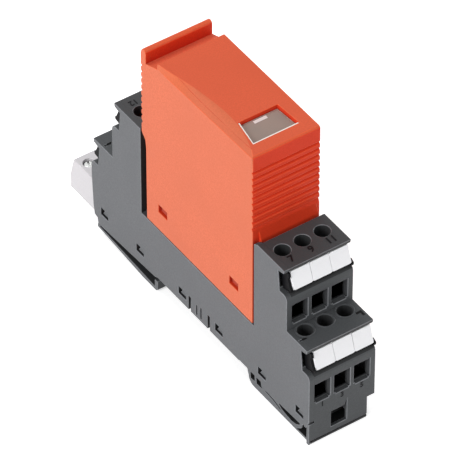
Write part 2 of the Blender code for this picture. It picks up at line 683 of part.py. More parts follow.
def make_foot(parts, cutters, look):
    """The sliding rail foot, with its spring arm, its nose under the rail and its guide in the base."""
    top = -SLIDE_GAP
    rail = -RAIL_HALF
    spring, reach = rail - 7.4, rail - 7.4 - ARM_END_Y
    slit = [(spring - reach * share, z) for share, z in ARM_SLIT]
    foot = prism("foot_latch", [foot_outline(), slit[::-1]], FOOT_LEFT, FOOT_RIGHT, parts)
    half = FOOT_CORE_HALF
    inner, rear = ARM_END_Y + 2.0, rail - 1.6
    core = [((-half, inner, FOOT_LOW + SKID - 0.2), (half, rear, top - 0.05)),
            ((-GUIDE_HALF, inner, top - 1.0), (GUIDE_HALF, rail - 8.5, GUIDE_NECK + 0.2)),
            ((-GUIDE_HEAD_HALF, inner, GUIDE_NECK), (GUIDE_HEAD_HALF, rail - 8.5, GUIDE_NECK + GUIDE_HEAD))]
    for index, span in enumerate(core, start=1):
        cut(foot, boxes(f"add_foot_core_{index}", [span], cutters), "UNION")
    tip = rail + FOOT_NOSE
    nose = [(rear - 1.0, FOOT_LOW + 0.9), (rail - 0.5, FOOT_LOW + 1.6), (tip, HOOK_TOP - 0.7),
            (tip, HOOK_TOP - 0.1), (rail - 0.7, HOOK_TOP + 0.1), (rail - 0.7, top - 0.1),
            (rear - 1.0, top - 0.1)]
    cut(foot, prism("add_foot_nose", [nose], -half + 0.2, half - 0.2, cutters), "UNION")
    return finish(foot, look)


def strip_outline(side, upper):
    wall, top = step_at(upper)
    outer_top = Vector((-wall + STRIP_TOP[0], top - STRIP_TOP[1]))
    outer_low = Vector((-wall + STRIP_LOW[0], top - STRIP_LOW[1]))
    along = (outer_low - outer_top).normalized()
    inward = Vector((-along.y, along.x)) * STRIP_THICK
    groove = -wall + GROOVE_DEPTH - REST_GAP
    web = [outer_low + inward - along * 1.2, Vector((groove - 0.5, top - 5.2)),
           Vector((groove - 0.3, top - 3.2)), outer_top + inward + along * 1.5]
    points = [outer_top, outer_low, outer_low + inward, *web, outer_top + inward]
    return flip([tuple(p) for p in points], side)


def make_marker(name, side, upper, parts, cutters, look):
    """Three write-on tiles on one strip, parted by shallow grooves."""
    strip = prism(name, [strip_outline(side, upper)], STRIP_LEFT, STRIP_RIGHT, parts)
    wall, top = step_at(upper)
    outer_top = Vector((-wall + STRIP_TOP[0], top - STRIP_TOP[1]))
    outer_low = Vector((-wall + STRIP_LOW[0], top - STRIP_LOW[1]))
    along = (outer_low - outer_top).normalized()
    out = Vector((along.y, -along.x))
    band = [outer_top - along + out, outer_low + along + out, outer_low + along - out * 0.25,
            outer_top - along - out * 0.25]
    outline = flip([tuple(p) for p in band], side)
    tile = (STRIP_RIGHT - STRIP_LEFT) / TILES
    grooves = []
    for i in range(1, TILES):
        edge = STRIP_LEFT + tile * i
        grooves.append(prism(f"cut_{name}_{i}", [outline], edge - 0.15, edge + 0.15, cutters))
    cut(strip, join_meshes("cut_" + name, grooves, cutters))
    return finish(strip, look)


def make_screw(name, side, upper, x, parts, cutters, look):
    wall, top = step_at(upper)
    seat = -HEAD_SEAT_DROP + REST_GAP
    tip = -BAR_DROP + BAR_THICK / 2 + REST_GAP
    head = seat + HEAD_HEIGHT
    profile = [(0.0, head), (HEAD_R - 0.3, head), (HEAD_R, head - 0.3), (HEAD_R, seat), (SHANK_R, seat),
               (SHANK_R, tip + 0.4), (SHANK_R - 0.4, tip), (0.0, tip)]
    screw = turned(name, profile, (x, side * (wall - SCREW_SET_BACK), top), 12, parts)
    baked(screw)
    slot = boxes("cut_slot_" + name, [((-HEAD_R - 1, -SLOT_WIDTH / 2, head - SLOT_DEPTH),
                                       (HEAD_R + 1, SLOT_WIDTH / 2, head + 1))], cutters)
    slot.location = screw.location
    slot.rotation_euler = (0, 0, math.radians(SLOT_TURNS[(side, upper, COLUMNS.index(x))]))
    cut(screw, slot)
    shade(screw)
    return finish(screw, look)


SLOT_TURNS = {(side, upper, column): 25 + 40 * column + 70 * upper + 35 * (side + 1)
              for side in (-1, 1) for upper in (False, True) for column in range(3)}


def make_cage(name, side, upper, x, parts, cutters, look):
    wall, top = step_at(upper)
    centre = side * (wall - SCREW_SET_BACK)
    roof_low = top - BAR_DROP + BAR_THICK / 2 + REST_GAP
    roof = roof_low + CAGE_ROOF
    floor = top - CHAMBER_LOW_DROP + REST_GAP
    half = CAGE_WIDTH / 2
    inner = half - CAGE_WALL
    ring = [(x - half, floor), (x + half, floor), (x + half, roof), (x - half, roof)]
    hole = [(x - inner, floor + CAGE_FLOOR), (x - inner, roof_low), (x + inner, roof_low),
            (x + inner, floor + CAGE_FLOOR)]
    y_low = -centre - CAGE_LENGTH / 2
    cage = prism(name, [ring, hole], y_low, y_low + CAGE_LENGTH, parts, TURN_FRONT)
    thread = [(x, centre, roof_low - 0.5, roof + 1)]
    cut(cage, rods("cut_thread_" + name, thread, SHANK_R + 0.2, 12, cutters))
    return finish(cage, look)


def make_bar(name, side, upper, x, parts, look):
    outline = flip(thicken(bar_path(upper), BAR_THICK / 2), side)
    bar = prism(name, [outline], x - BAR_WIDTH / 2, x + BAR_WIDTH / 2, parts)
    return finish(bar, look)


def rib_edge(y, out, upwards):
    """Ribbed edge of the plug; out is the way that the ribs face, -1 or +1."""
    points = []
    crest = RIB_PITCH * 0.25
    for i in range(RIBS):
        z = RIB_FIRST + i * RIB_PITCH
        points += [(y - out * RIB_DEPTH, z - RIB_PITCH / 2), (y, z - crest), (y, z + crest)]
    points.append((y - out * RIB_DEPTH, RIB_FIRST + (RIBS - 0.5) * RIB_PITCH))
    points.append((y, RIB_FIRST + (RIBS - 0.5) * RIB_PITCH + crest))
    return points if upwards else points[::-1]


def plug_outline():
    """Side outline of the plug: ribbed grips at both ends and the pull lip over the rear one."""
    lip_in = GRIP_REAR - 0.3 - LIP_WIDTH
    lip_mid = (lip_in + GRIP_REAR - 0.3) / 2
    groove_y, groove_z = GRIP_REAR - LIP_GROOVE, PLUG_TOP - GROOVE_LOW
    return [
        (PLUG_FRONT, PLUG_LOW), (PLUG_FRONT, RIB_FIRST - RIB_PITCH), *rib_edge(PLUG_FRONT, -1, True),
        (PLUG_FRONT, PLUG_TOP - 0.4), (PLUG_FRONT + 0.4, PLUG_TOP), (groove_y, PLUG_TOP),
        (groove_y + 0.2, PLUG_TOP - GROOVE_LOW / 2), (lip_in - 0.8, groove_z + 0.3),
        (lip_in, groove_z), (lip_in, LIP_TOP - 1.0),
        *arc((lip_mid, LIP_TOP - LIP_WIDTH / 2), LIP_WIDTH / 2, 160, 20, 4),
        (GRIP_REAR, LIP_TOP - 1.6), (GRIP_REAR, LIP_TOP - 3.0),
        *rib_edge(GRIP_REAR, 1, False), (GRIP_REAR, RIB_FIRST - RIB_PITCH), (GRIP_REAR, GRIP_LOW),
        (PLUG_REAR + 0.3, GRIP_LOW - 1.6), (PLUG_REAR, GRIP_LOW - 4.0), (PLUG_REAR, PLUG_LOW),
    ]


def crescent(name, where):
    """Cutter for the crescent-shaped bevel along the plug's left top edge."""
    stations = 14
    front, rear = PLUG_FRONT + 0.2, GRIP_REAR - LIP_GROOVE
    work = bmesh.new()
    rings = []
    for i in range(stations + 1):
        t = i / stations
        y = front + (rear - front) * t
        share = t / CRESCENT_WIDEST if t < CRESCENT_WIDEST else (1 - t) / (1 - CRESCENT_WIDEST)
        power = 0.8 if t < CRESCENT_WIDEST else 1.15
        inset = 0.1 + (CRESCENT_INSET - 0.1) * math.sin(math.pi / 2 * share) ** power
        low = PLUG_TOP - 0.5 - 0.9 * t
        points = [(LEFT - 1.0, low), (LEFT, low), (LEFT + inset, PLUG_TOP), (LEFT + inset, PLUG_TOP + 1.0),
                  (LEFT - 1.0, PLUG_TOP + 1.0)]
        rings.append([work.verts.new((x * MM, y * MM, z * MM)) for x, z in points])
    for a, b in zip(rings, rings[1:]):
        for j in range(5):
            k = (j + 1) % 5
            work.faces.new((a[j], a[k], b[k], b[j]))
    work.faces.new(rings[0][::-1])
    work.faces.new(rings[-1])
    bmesh.ops.recalc_face_normals(work, faces=work.faces)
    mesh = bpy.data.meshes.new(name)
    work.to_mesh(mesh)
    work.free()
    return mesh_object(name, mesh, where)


def lens_points(grow, clockwise=False):
    points = [(LENS_FRONT_X[0] - grow, LENS_FRONT_Y - grow), (LENS_FRONT_X[1] + grow, LENS_FRONT_Y - grow),
              (LENS_REAR_X[1] + grow, LENS_REAR_Y + grow), (LENS_REAR_X[0] - grow, LENS_REAR_Y + grow)]
    return points[::-1] if clockwise else points


def make_plug_housing(parts, cutters, look):
    housing = prism("plug_housing", [plug_outline()], BODY_LEFT, RIGHT, parts)
    front, rear = PLUG_FRONT + PLUG_WALL + RIB_DEPTH, PLUG_REAR - PLUG_WALL
    ceiling = PLUG_TOP - LENS_DROP - LENS_THICK - 0.6
    under_groove, groove_z = GRIP_REAR - LIP_GROOVE - PLUG_WALL, PLUG_TOP - GROOVE_LOW
    room = [(front, PLUG_LOW + PLUG_WALL), (rear, PLUG_LOW + PLUG_WALL), (rear, groove_z - 2.0),
            (under_groove, groove_z - 0.6), (under_groove - 1.0, ceiling), (front, ceiling)]
    cut(housing, prism("cut_plug_room", [room], BODY_LEFT - REACH, RIGHT - PLUG_WALL, cutters))
    cut(housing, crescent("cut_crescent_housing", cutters))
    cut(housing, prism("cut_lens_seat", [lens_points(0.0)], PLUG_TOP - LENS_DROP - LENS_THICK - 2.0,
                       PLUG_TOP + 1.0, cutters, TURN_FLAT))
    slots = blade_slots(SLIDE_GAP, BLADE_THICK / 2 + SLIDE_GAP, PLUG_LOW - 1.0, PLUG_LOW + PLUG_WALL + 1.0)
    cut(housing, boxes("cut_plug_blade_slots", slots, cutters))
    skirt = [(PLUG_FRONT + 0.3, SKIRT_Z[1] + 2.4), (PLUG_FRONT - SKIRT_OUT, SKIRT_Z[0] + 0.8),
             (PLUG_FRONT - SKIRT_OUT, SKIRT_Z[0]), (PLUG_FRONT + 0.3, SKIRT_Z[0])]
    cut(housing, prism("add_skirt", [skirt], BODY_LEFT + 0.3, RIGHT - 0.8, cutters), "UNION")
    catches = []
    half_y, half_z = PLUG_WINDOW[0] / 2 - PLUG_CATCH_GAP, PLUG_WINDOW[1] / 2 - PLUG_CATCH_GAP
    post_in = COLUMNS[0] - BLADE_WIDTH / 2 - REST_GAP
    for y in PLUG_WINDOWS_Y:
        near, far = y - half_y, y + half_y
        catches.append(((BODY_LEFT + 0.1, near, PLUG_LOW + 0.5), (post_in, far, PLUG_WINDOW_Z)))
        catches.append(((LEFT + CATCH_SET_BACK, near + 0.1, PLUG_WINDOW_Z - half_z),
                        (post_in - 0.1, far - 0.1, PLUG_WINDOW_Z + half_z)))
    for i, span in enumerate(catches):
        cut(housing, boxes(f"add_plug_catch_{i}", [span], cutters), "UNION")
    return finish(housing, look)


def make_plug_cover(parts, cutters, look):
    cover = prism("plug_side_cover", [plug_outline()], LEFT, COVER_IN, parts)
    cut(cover, window_boxes("cut_plug_windows", PLUG_WINDOWS_Y, PLUG_WINDOW_Z, PLUG_WINDOW, cutters))
    cut(cover, crescent("cut_crescent_cover", cutters))
    return finish(cover, look)


def make_lens(parts, look):
    top = PLUG_TOP - LENS_DROP
    lens = prism("status_window", [lens_points(-SLIDE_GAP)], top - LENS_THICK, top, parts, TURN_FLAT)
    return finish(lens, look)


def make_plug_inside(parts, cutters, looks):
    """Circuit board, its larger components, the status light guide and the contact combs."""
    made = []
    board_low = PLUG_LOW + PLUG_WALL + REST_GAP
    board_top = PLUG_TOP - LENS_DROP - LENS_THICK - 4.4
    board_y = (PLUG_FRONT + PLUG_WALL + RIB_DEPTH + BOARD_MARGIN, PLUG_REAR - PLUG_WALL - BOARD_MARGIN)
    board = ((BOARD_X, board_y[0], board_low + BOARD_RISE), (BOARD_X + BOARD_THICK, board_y[1], board_top))
    made.append(finish(boxes("circuit_board", [board], parts), looks["board"]))
    for side, end in ((-1, "front"), (1, "rear")):
        for row, which in zip(BLADE_ROWS, ("outer", "inner")):
            name = f"contact_comb_{end}_{which}"
            y = side * row
            half = BLADE_THICK / 2
            bottom = PLUG_LOW - BLADE_LENGTH
            bar_high = board_low + 2.6
            outline = []
            for x in COLUMNS:
                left, right = x - BLADE_WIDTH / 2, x + BLADE_WIDTH / 2
                outline += [(left, board_low), (left, bottom + 0.6), (left + 0.6, bottom),
                            (right - 0.6, bottom), (right, bottom + 0.6), (right, board_low)]
            outline += [(right, bar_high), (outline[0][0], bar_high)]
            comb = prism(name, [outline], -y - half, -y + half, parts, TURN_FRONT)
            made.append(finish(comb, looks["contact"]))
    face = BOARD_X - REST_GAP
    tube_far = PLUG_REAR - TUBE_SET_BACK
    for number, rise in enumerate(TUBE_RISES, start=1):
        span = (face - TUBE_R, PLUG_LOW + rise, tube_far - TUBE_LENGTH, tube_far)
        tube = rods(f"gas_discharge_tube_{number}", [span], TUBE_R, 20, parts, axis="Y")
        shade(tube)
        made.append(finish(tube, looks["tube"]))
    near, low = PLUG_FRONT + DIODE_SET_BACK, PLUG_LOW + DIODE_RISE
    diode = ((face - DIODE[0], near, low), (face, near + DIODE[1], low + DIODE[2]))
    made.append(finish(boxes("suppressor_diode", [diode], parts), looks["diode"]))
    guide_top = PLUG_TOP - LENS_DROP - LENS_THICK - REST_GAP
    plate = ((LENS_REAR_X[0] + 0.8, LENS_FRONT_Y + 1.3, guide_top - 1.0),
             (LENS_REAR_X[1] - 1.1, LENS_REAR_Y - 1.2, guide_top))
    guide = boxes("status_light_guide", [plate], parts)
    stem = boxes("add_guide_stem", [((face - 1.3, LENS_FRONT_Y + 2.3, board_top - 6.0),
                                     (face, LENS_REAR_Y - 2.2, guide_top - 0.5))], cutters)
    cut(guide, stem, "UNION")
    made.append(finish(guide, looks["guide"]))
    return made


def make_signal_plug(parts, cutters, looks):
    """Pull-off three-way connector for the remote signal, with its clamp screws."""
    face = END_Y + REST_GAP
    outer = face + SIGNAL_OUT
    outline = [(face, SIGNAL_LOW), (outer, SIGNAL_LOW), (outer - 0.1, SIGNAL_LOW + 4.2),
               (outer - 1.6, SIGNAL_TOP), (face, SIGNAL_TOP)]
    plug = prism("signal_plug", [outline], -SIGNAL_HALF, SIGNAL_HALF, parts)
    tongue = boxes("add_signal_tongue", [((-SIGNAL_TONGUE_HALF, face - SIGNAL_IN, SIGNAL_TONGUE[0]),
                                          (SIGNAL_TONGUE_HALF, face + 1.0, SIGNAL_TONGUE[1]))], cutters)
    cut(plug, tongue, "UNION")
    centres = [i * SIGNAL_PITCH for i in (-1, 0, 1)]
    well_low = SIGNAL_TOP - 4.2
    wells = [(x, face + SIGNAL_SCREW_Y, well_low, SIGNAL_TOP + 1) for x in centres]
    cut(plug, rods("cut_signal_wells", wells, SIGNAL_SCREW_HOLE_R, 12, cutters))
    entries = [((x - 1.5, outer - 3.6, SIGNAL_LOW + 1.4), (x + 1.5, outer + 1, SIGNAL_LOW + 4.4))
               for x in centres]
    cut(plug, boxes("cut_signal_entries", entries, cutters))
    made = [finish(plug, looks["signal"])]
    for number, x in enumerate(centres, start=1):
        top = SIGNAL_TOP - SIGNAL_SCREW_DROP
        profile = [(0.0, top), (SIGNAL_SCREW_R - 0.2, top), (SIGNAL_SCREW_R, top - 0.2),
                   (SIGNAL_SCREW_R, well_low + REST_GAP), (0.0, well_low + REST_GAP)]
        screw = turned(f"signal_screw_{number}", profile, (x, face + SIGNAL_SCREW_Y, 0.0), 12, parts)
        baked(screw)
        across = ((-SIGNAL_SCREW_R - 1, -0.22, top - 0.6), (SIGNAL_SCREW_R + 1, 0.22, top + 1.0))
        slot = boxes(f"cut_signal_slot_{number}", [across], cutters)
        slot.location = screw.location
        slot.rotation_euler = (0, 0, math.radians(20 + 50 * number))
        cut(screw, slot)
        shade(screw)
        made.append(finish(screw, looks["screw"]))
    return made


def main():
    clear_scene()
    parts = collection(COLLECTION)
    cutters = collection("cutters")
    looks = {
        "base": material("base_grey", (0.10, 0.105, 0.115), 0.5),
        "plug": material("plug_orange", (0.83, 0.17, 0.07), 0.42),
        "marker": material("marker_white", (0.82, 0.82, 0.84), 0.5),
        "signal": material("signal_grey", (0.68, 0.66, 0.69), 0.45),
        "screw": material("zinc_plated_steel", (0.62, 0.63, 0.62), 0.32, 1.0),
        "cage": material("plated_steel", (0.55, 0.54, 0.50), 0.4, 1.0),
        "contact": material("tinned_copper", (0.70, 0.66, 0.58), 0.35, 1.0),
        "lens": material("smoked_window", (0.32, 0.28, 0.26), 0.2, 0.0, 0.6),
        "guide": material("light_guide_grey", (0.45, 0.42, 0.40), 0.5),
        "board": material("circuit_board_green", (0.05, 0.22, 0.10), 0.5),
        "tube": material("ceramic_white", (0.78, 0.76, 0.72), 0.4),
        "diode": material("moulded_black", (0.03, 0.03, 0.03), 0.5),
    }
    make_base_body(parts, cutters, looks["base"])
    make_base_cover(parts, cutters, looks["base"])
    make_foot(parts, cutters, looks["base"])
    for side, end in ((-1, "front"), (1, "rear")):
        for upper, level in ((False, "lower"), (True, "upper")):
            make_marker(f"marker_strip_{end}_{level}", side, upper, parts, cutters, looks["marker"])
    for name, side, upper, x in terminals():
        make_screw("clamp_screw_" + name, side, upper, x, parts, cutters, looks["screw"])
        make_cage("clamp_cage_" + name, side, upper, x, parts, cutters, looks["cage"])
        make_bar("contact_bar_" + name, side, upper, x, parts, looks["contact"])
    make_plug_housing(parts, cutters, looks["plug"])
    make_plug_cover(parts, cutters, looks["plug"])
    make_lens(parts, looks["lens"])
    make_plug_inside(parts, cutters, looks)
    make_signal_plug(parts, cutters, looks)


main()
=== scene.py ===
"""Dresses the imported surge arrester: mouldings, markings, metal parts, window, light and camera."""
import math

import bmesh
import bpy
from bpy.props import FloatProperty, FloatVectorProperty, IntProperty, PointerProperty
from mathutils import Matrix, Vector


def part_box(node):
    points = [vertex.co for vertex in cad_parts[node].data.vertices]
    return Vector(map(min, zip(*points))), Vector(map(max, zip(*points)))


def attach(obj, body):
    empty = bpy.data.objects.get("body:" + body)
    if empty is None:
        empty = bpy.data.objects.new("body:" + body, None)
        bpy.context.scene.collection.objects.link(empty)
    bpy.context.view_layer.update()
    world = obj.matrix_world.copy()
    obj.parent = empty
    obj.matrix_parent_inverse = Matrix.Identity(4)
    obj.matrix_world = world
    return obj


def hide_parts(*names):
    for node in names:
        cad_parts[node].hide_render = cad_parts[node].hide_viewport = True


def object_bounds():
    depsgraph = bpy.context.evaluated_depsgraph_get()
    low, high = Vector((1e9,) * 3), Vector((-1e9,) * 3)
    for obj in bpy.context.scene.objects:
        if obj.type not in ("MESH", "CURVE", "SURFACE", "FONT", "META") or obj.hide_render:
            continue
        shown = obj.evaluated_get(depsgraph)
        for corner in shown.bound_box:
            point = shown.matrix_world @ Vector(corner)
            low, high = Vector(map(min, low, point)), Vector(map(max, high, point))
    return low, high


bl_info = {
    "name": "Rail surge arrester",
    "version": (1, 1, 0),
    "blender": (4, 5, 0),
    "location": "3D View > Sidebar > Arrester",
    "description": "Dresses the packed surge arrester and sets its light and camera",
    "category": "Object",
}

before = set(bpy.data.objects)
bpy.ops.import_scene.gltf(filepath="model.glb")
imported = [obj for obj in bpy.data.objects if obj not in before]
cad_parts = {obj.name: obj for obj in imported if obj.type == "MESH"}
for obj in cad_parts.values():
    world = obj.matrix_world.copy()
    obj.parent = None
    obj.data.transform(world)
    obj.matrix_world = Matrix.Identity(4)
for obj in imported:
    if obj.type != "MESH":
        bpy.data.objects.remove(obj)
CAD_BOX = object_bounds()

# Places and sizes below are in millimetres, apart from those in MM and the stage's
MM = 0.001
HALF_WIDTH = 9.0
PITCH = 5.35
COLUMNS = (-PITCH, 0.0, PITCH)
NUMBERS = (1, 2, 3)
ENDS = (("front", -1), ("rear", 1))
# Each level of terminals: its name, how far out its wall stands and how high its top is
LEVELS = (("lower", 43.3, 23.9), ("upper", 34.4, 41.3))
# Each step of terminals: its name, the way that it faces along Y, its wall and its top
STEPS = [(f"{end}_{level}", side, wall, top) for end, side in ENDS for level, wall, top in LEVELS]
UPPER_TOP = LEVELS[1][2]

SCREW_SET_BACK = 6.9
HEAD_HEIGHT, HEAD_CHAMFER, SHANK_RADIUS, RIDGE_HEIGHT = 1.6 * MM, 0.16 * MM, 1.25 * MM, 0.12 * MM
# A screw slot's angle in degrees: the first one's, and what each next number, level and end adds
SLOT_FIRST, SLOT_BY_NUMBER, SLOT_BY_LEVEL, SLOT_BY_END = 25, 40, 70, 70
COLLAR_RADIUS, COLLAR_SUNK = 2.12, 0.05
ENTRY_WIDTH, ENTRY_HEIGHT, ENTRY_DROP, ENTRY_SET_BACK = 3.95, 5.3, 13.0, 0.95

STRIP_LEFT, STRIP_RIGHT = -7.2, 8.4
# A marker strip's upper and lower edge: how far in from the wall, and how far below the top
STRIP_TOP, STRIP_LOW = (1.35, 1.25), (-0.25, 5.8)
TILE_SUNK = 0.04 * MM
# The recess beside a strip's left end: on X, in from the wall, and below the top
RECESS_X, RECESS_IN, RECESS_DROP = (-8.65, STRIP_LEFT - 0.1), (1.0, 5.6), (1.45, 6.4)
# Outlines of the catch left of a strip and of the nose right of it: out from the wall, up from the top
CATCH = ((-1.0, -1.3), (-0.7, -2.4), (-1.25, -2.8), (-0.35, -5.0), (0.25, -5.6), (0.1, -6.3), (-2.6, -6.9),
         (-3.6, -6.6), (-3.6, -1.3))
NOSE = ((-0.9, -5.3), (0.2, -6.0), (0.15, -6.7), (-0.9, -7.4))
CATCH_X, NOSE_X = (-7.95, -7.3), (STRIP_RIGHT + 0.05, HALF_WIDTH)

# Engraved corner lines beside the lower screws: left, right and length
CORNER_LINES = ((6.95, 8.35, 0.5), (-8.35, -6.5, 0.45), (7.93, 8.35, 1.5))
LINE_SET_BACK, LINE_DEPTH = SCREW_SET_BACK - 1.9, 0.35
# Backs of the side cover's slots: middle and half width on Y, and top
SLOT_BACKS = ((-4.1, 0.4, 4.25), (3.5, 0.4, 4.25), (-1.0, 0.175, 4.1), (0.7, 0.175, 3.7))
SLOT_BACK_X, SLOT_BACK_LOW = (-8.6, -6.2), 0.35
# The side covers' edges between these are moved on by the fill, which closes most of the seam
SEAM_LEFT, SEAM_RIGHT, SEAM_FILL = -7.75 * MM, -7.54 * MM, 0.1 * MM

PLUG_TOP_LOW = 62.0     # the plug's top is above this, and its ribs are below
STATUS_BAR_LOW, STATUS_BAR_HIGH = (-1.75, -11.75), (1.7, -10.85)
BAR_SUNK, BAR_RISE = 0.2, 0.05
# Painted highlight: a pale strip along the status window's left and front edges; its width, depth, top and
# taper
GLINT_WIDTH, GLINT_DEPTH, GLINT_TOP, GLINT_TAPER = 0.3, 0.3, 65.75, 0.04
# The window's glint strip on X and Y, a pale strip of painted highlight along its left and front edges: its
# far end, its corner, and how far it reaches to the right
GLINT_FAR, GLINT_NEAR, GLINT_RIGHT = (-5.2, -10.3), (-6.38, -17.68), 5.76

# Widths of the roundings that aren't settings
FINE_EDGE, SCREW_EDGE, GLINT_EDGE, CATCH_EDGE = 0.04 * MM, 0.05 * MM, 0.05 * MM, 0.06 * MM
TILE_EDGE, STRIP_EDGE, CAGE_EDGE, WINDOW_EDGE = 0.07 * MM, 0.1 * MM, 0.1 * MM, 0.22 * MM
# Points nearer than these are one point: in a CAD shape, and where grown shapes meet
CAD_JOIN, GROWN_JOIN = 0.002 * MM, 0.0005 * MM

TOP_NUMBERS = (("7", "9", "11"), ("8", "10", "12"))
WALL_NUMBERS = (("1", "3", "5"), ("2", "4", "6"))
TOP_NUMBER_SET_BACK, WALL_NUMBER_DROP = 3.45, 17.3
# Heights of the numbers as shares of the set height, and the letters' size and weight for a height of 1
FRONT_SHARE, REAR_SHARE, WALL_SHARE = 1.0, 0.8, 0.75
LETTER_SIZE, LETTER_WEIGHT = 1.38, 0.012
# The floor's half side and its gap to the part, in metres, and how much it glows
FLOOR_HALF, FLOOR_GAP, FLOOR_GLOW = 1.6, 0.00005, 0.55
# Each light's place and the side of its square, in metres, and the place that all of them face
LIGHTS = (("key", (-0.90, -0.10, 0.55), 0.5), ("fill", (0.15, -0.90, 0.30), 0.5),
          ("side", (0.90, 0.05, 0.35), 0.5), ("top", (0.0, 0.55, 0.85), 0.4))
LIGHTS_AIM = (0.0, 0.0, 0.03)

# Where faces get painted shade, a darkened colour standing in for the shade in hollows and gaps: ranges on
# the axes, in from the wall (IN) or below the top (DROP)
PLUG_GAP_OUT, PLUG_GAP_LOW = (20.0, 24.5), 15.0
PLUG_CATCH_X, PLUG_CATCH_Z = -7.6, (21.15, 23.55)
SNAP_WINDOW_LEFT, SNAP_WINDOW_Z = -8.9, (1.95, 4.25)
SLOTS_HALF, SLOTS_Z = 4.6, (-0.9, 4.35)
BACKS_X = (-8.4, -5.0)
HOOK_X, HOOK_Y, HOOK_Z = -6.8, (17.0, 41.5), (-4.1, -0.5)
LINE_X, LINE_IN, LINE_DROP = 6.4, (3.2, 5.1), (0.02, 0.36)
WELL_HALF, WELL_IN, WELL_DROP, WELL_FLOOR = 2.35, (0.2, 10.0), (0.2, 16.2), 10.6
FOOT_GAP_TOP, FOOT_BACK_X = -1.0, -8.0

FLOAT, INTEGER = "NodeSocketFloat", "NodeSocketInt"


# Settings

def plain_setting(name, description, default, low, high, unit="NONE"):
    return FloatProperty(name=name, description=description, default=default, min=low, max=high, unit=unit)


def length_setting(*values):
    return plain_setting(*values, unit="LENGTH")


def colour_setting(name, description, *default):
    return FloatVectorProperty(name=name, description=description, default=default, size=3, min=0.0, max=1.0,
                               subtype="COLOR")


class MouldingSettings(bpy.types.PropertyGroup):
    edge: length_setting("Edge round", "Width of the rounding on moulded edges", 0.00014, 0.0, 0.001)
    grain: length_setting("Grain size", "Size of the spark-eroded grain", 0.00035, 0.00005, 0.002)
    base_colour: colour_setting("Base colour", "Colour of the base, foot and covers", 0.055, 0.059, 0.063)
    # Painted sheen: a paler colour for the base's sides, standing in for the sheen of light on them
    base_matt: colour_setting("Base sheen colour", "Paler colour painted on the base's sides as sheen", 0.112, 0.117, 0.126)
    plug_colour: colour_setting("Plug colour", "Colour of the plug's mouldings", 0.70, 0.038, 0.006)
    # Painted sheen: a paler colour for the plug's sides and partly its top, standing in for the sheen of
    # light
    plug_matt: colour_setting("Plug sheen colour", "Paler colour painted on the plug's sides as sheen", 0.70, 0.150, 0.064)
    signal_colour: colour_setting("Connector colour", "Colour of the pull-off connector", 0.62, 0.60, 0.62)


class MarkingSettings(bpy.types.PropertyGroup):
    height: length_setting("Number height", "Height of the raised terminal numbers", 0.0020, 0.0005, 0.005)
    relief: length_setting("Relief", "How far the numbers stand out", 0.0001, 0.00001, 0.0005)


class MarkerSettings(bpy.types.PropertyGroup):
    tiles: IntProperty(name="Tiles", description="Write-on tiles on each strip", default=3, min=1, max=12)
    gap: length_setting("Tile gap", "Groove between two tiles", 0.00014, 0.0, 0.001)
    thickness: length_setting("Tile thickness", "How far a tile stands out", 0.0003, 0.00005, 0.001)
    corner: length_setting("Tile corner", "Radius of a tile's corners", 0.0004, 0.0, 0.002)
    colour: colour_setting("Tile colour", "Colour of the marker strips", 0.90, 0.90, 0.92)


class TerminalSettings(bpy.types.PropertyGroup):
    ridges: IntProperty(name="Ridges", description="Ridges of a screw's thread", default=9, min=2, max=40)
    slot_width: length_setting("Slot width", "Width of a screw's slot", 0.0006, 0.0001, 0.002)
    slot_depth: length_setting("Slot depth", "Depth of a screw's slot", 0.0008, 0.0001, 0.002)
    collar: length_setting("Collar bead", "Radius of the bead round a screw well", 0.00024, 0.00005, 0.001)
    frame_bead: length_setting("Entry frame", "Width of a wire entry's inner frame", 0.00026, 0.00005, 0.001)


class StageSettings(bpy.types.PropertyGroup):
    lens: plain_setting("Lens", "Focal length in millimetres on a 36 mm sensor", 441.69, 20.0, 1000.0)
    azimuth: plain_setting("Azimuth", "The camera's angle round the object", -34.667, -360.0, 360.0)
    elevation: plain_setting("Elevation", "The camera's angle above the horizon", 43.411, -90.0, 90.0)
    distance: length_setting("Distance", "From the camera to its target", 1.2764, 0.1, 10.0)
    target: FloatVectorProperty(name="Target", description="The point that the camera looks at",
                                default=(-0.00017, -0.00064, 0.02299), size=3, unit="LENGTH")
    key_power: plain_setting("Key light", "Power of the key light in watts", 8.2, 0.0, 1000.0)
    fill_power: plain_setting("Fill light", "Power of the fill light in watts", 2.3, 0.0, 1000.0)
    top_power: plain_setting("Top light", "Power of the top light in watts", 3.0, 0.0, 1000.0)
    side_power: plain_setting("Side light", "Power of the side light in watts", 3.2, 0.0, 1000.0)
    sky: plain_setting("Sky", "Strength of the even light from all round", 0.25, 0.0, 4.0)


# Node helpers

def new_material(name):
    made = bpy.data.materials.new(name)
    made.use_nodes = True
    return made.node_tree, made.node_tree.nodes["Principled BSDF"]


def add(tree, kind, **settings):
    node = tree.nodes.new(kind)
    for key, value in settings.items():
        setattr(node, key, value)
    return node


def feed(socket, value):
    """Links a socket to an output, or sets it to a plain value."""
    if isinstance(value, bpy.types.NodeSocket):
        socket.id_data.links.new(value, socket)
    elif value is not None:
        socket.default_value = value


def put(node, **values):
    """Feeds a node's inputs by name, with underscores for spaces."""
    for key, value in values.items():
        feed(node.inputs[key.replace("_", " ")], value)
    return node


def stage_of(tree, kind, settings=None, **inputs):
    """The first output of a new node whose inputs are fed by name."""
    return put(add(tree, kind, **(settings or {})), **inputs).outputs[0]


def in_order(tree, kind, values, **settings):
    """The first output of a new node whose inputs are fed in their order."""
    node = add(tree, kind, **settings)
    for socket, value in zip(node.inputs, values):
        feed(socket, value)
    return node.outputs[0]


def figure(tree, operation, *values):
    return in_order(tree, "ShaderNodeMath", values, operation=operation)


def point(tree, *values):
    return in_order(tree, "ShaderNodeCombineXYZ", values)


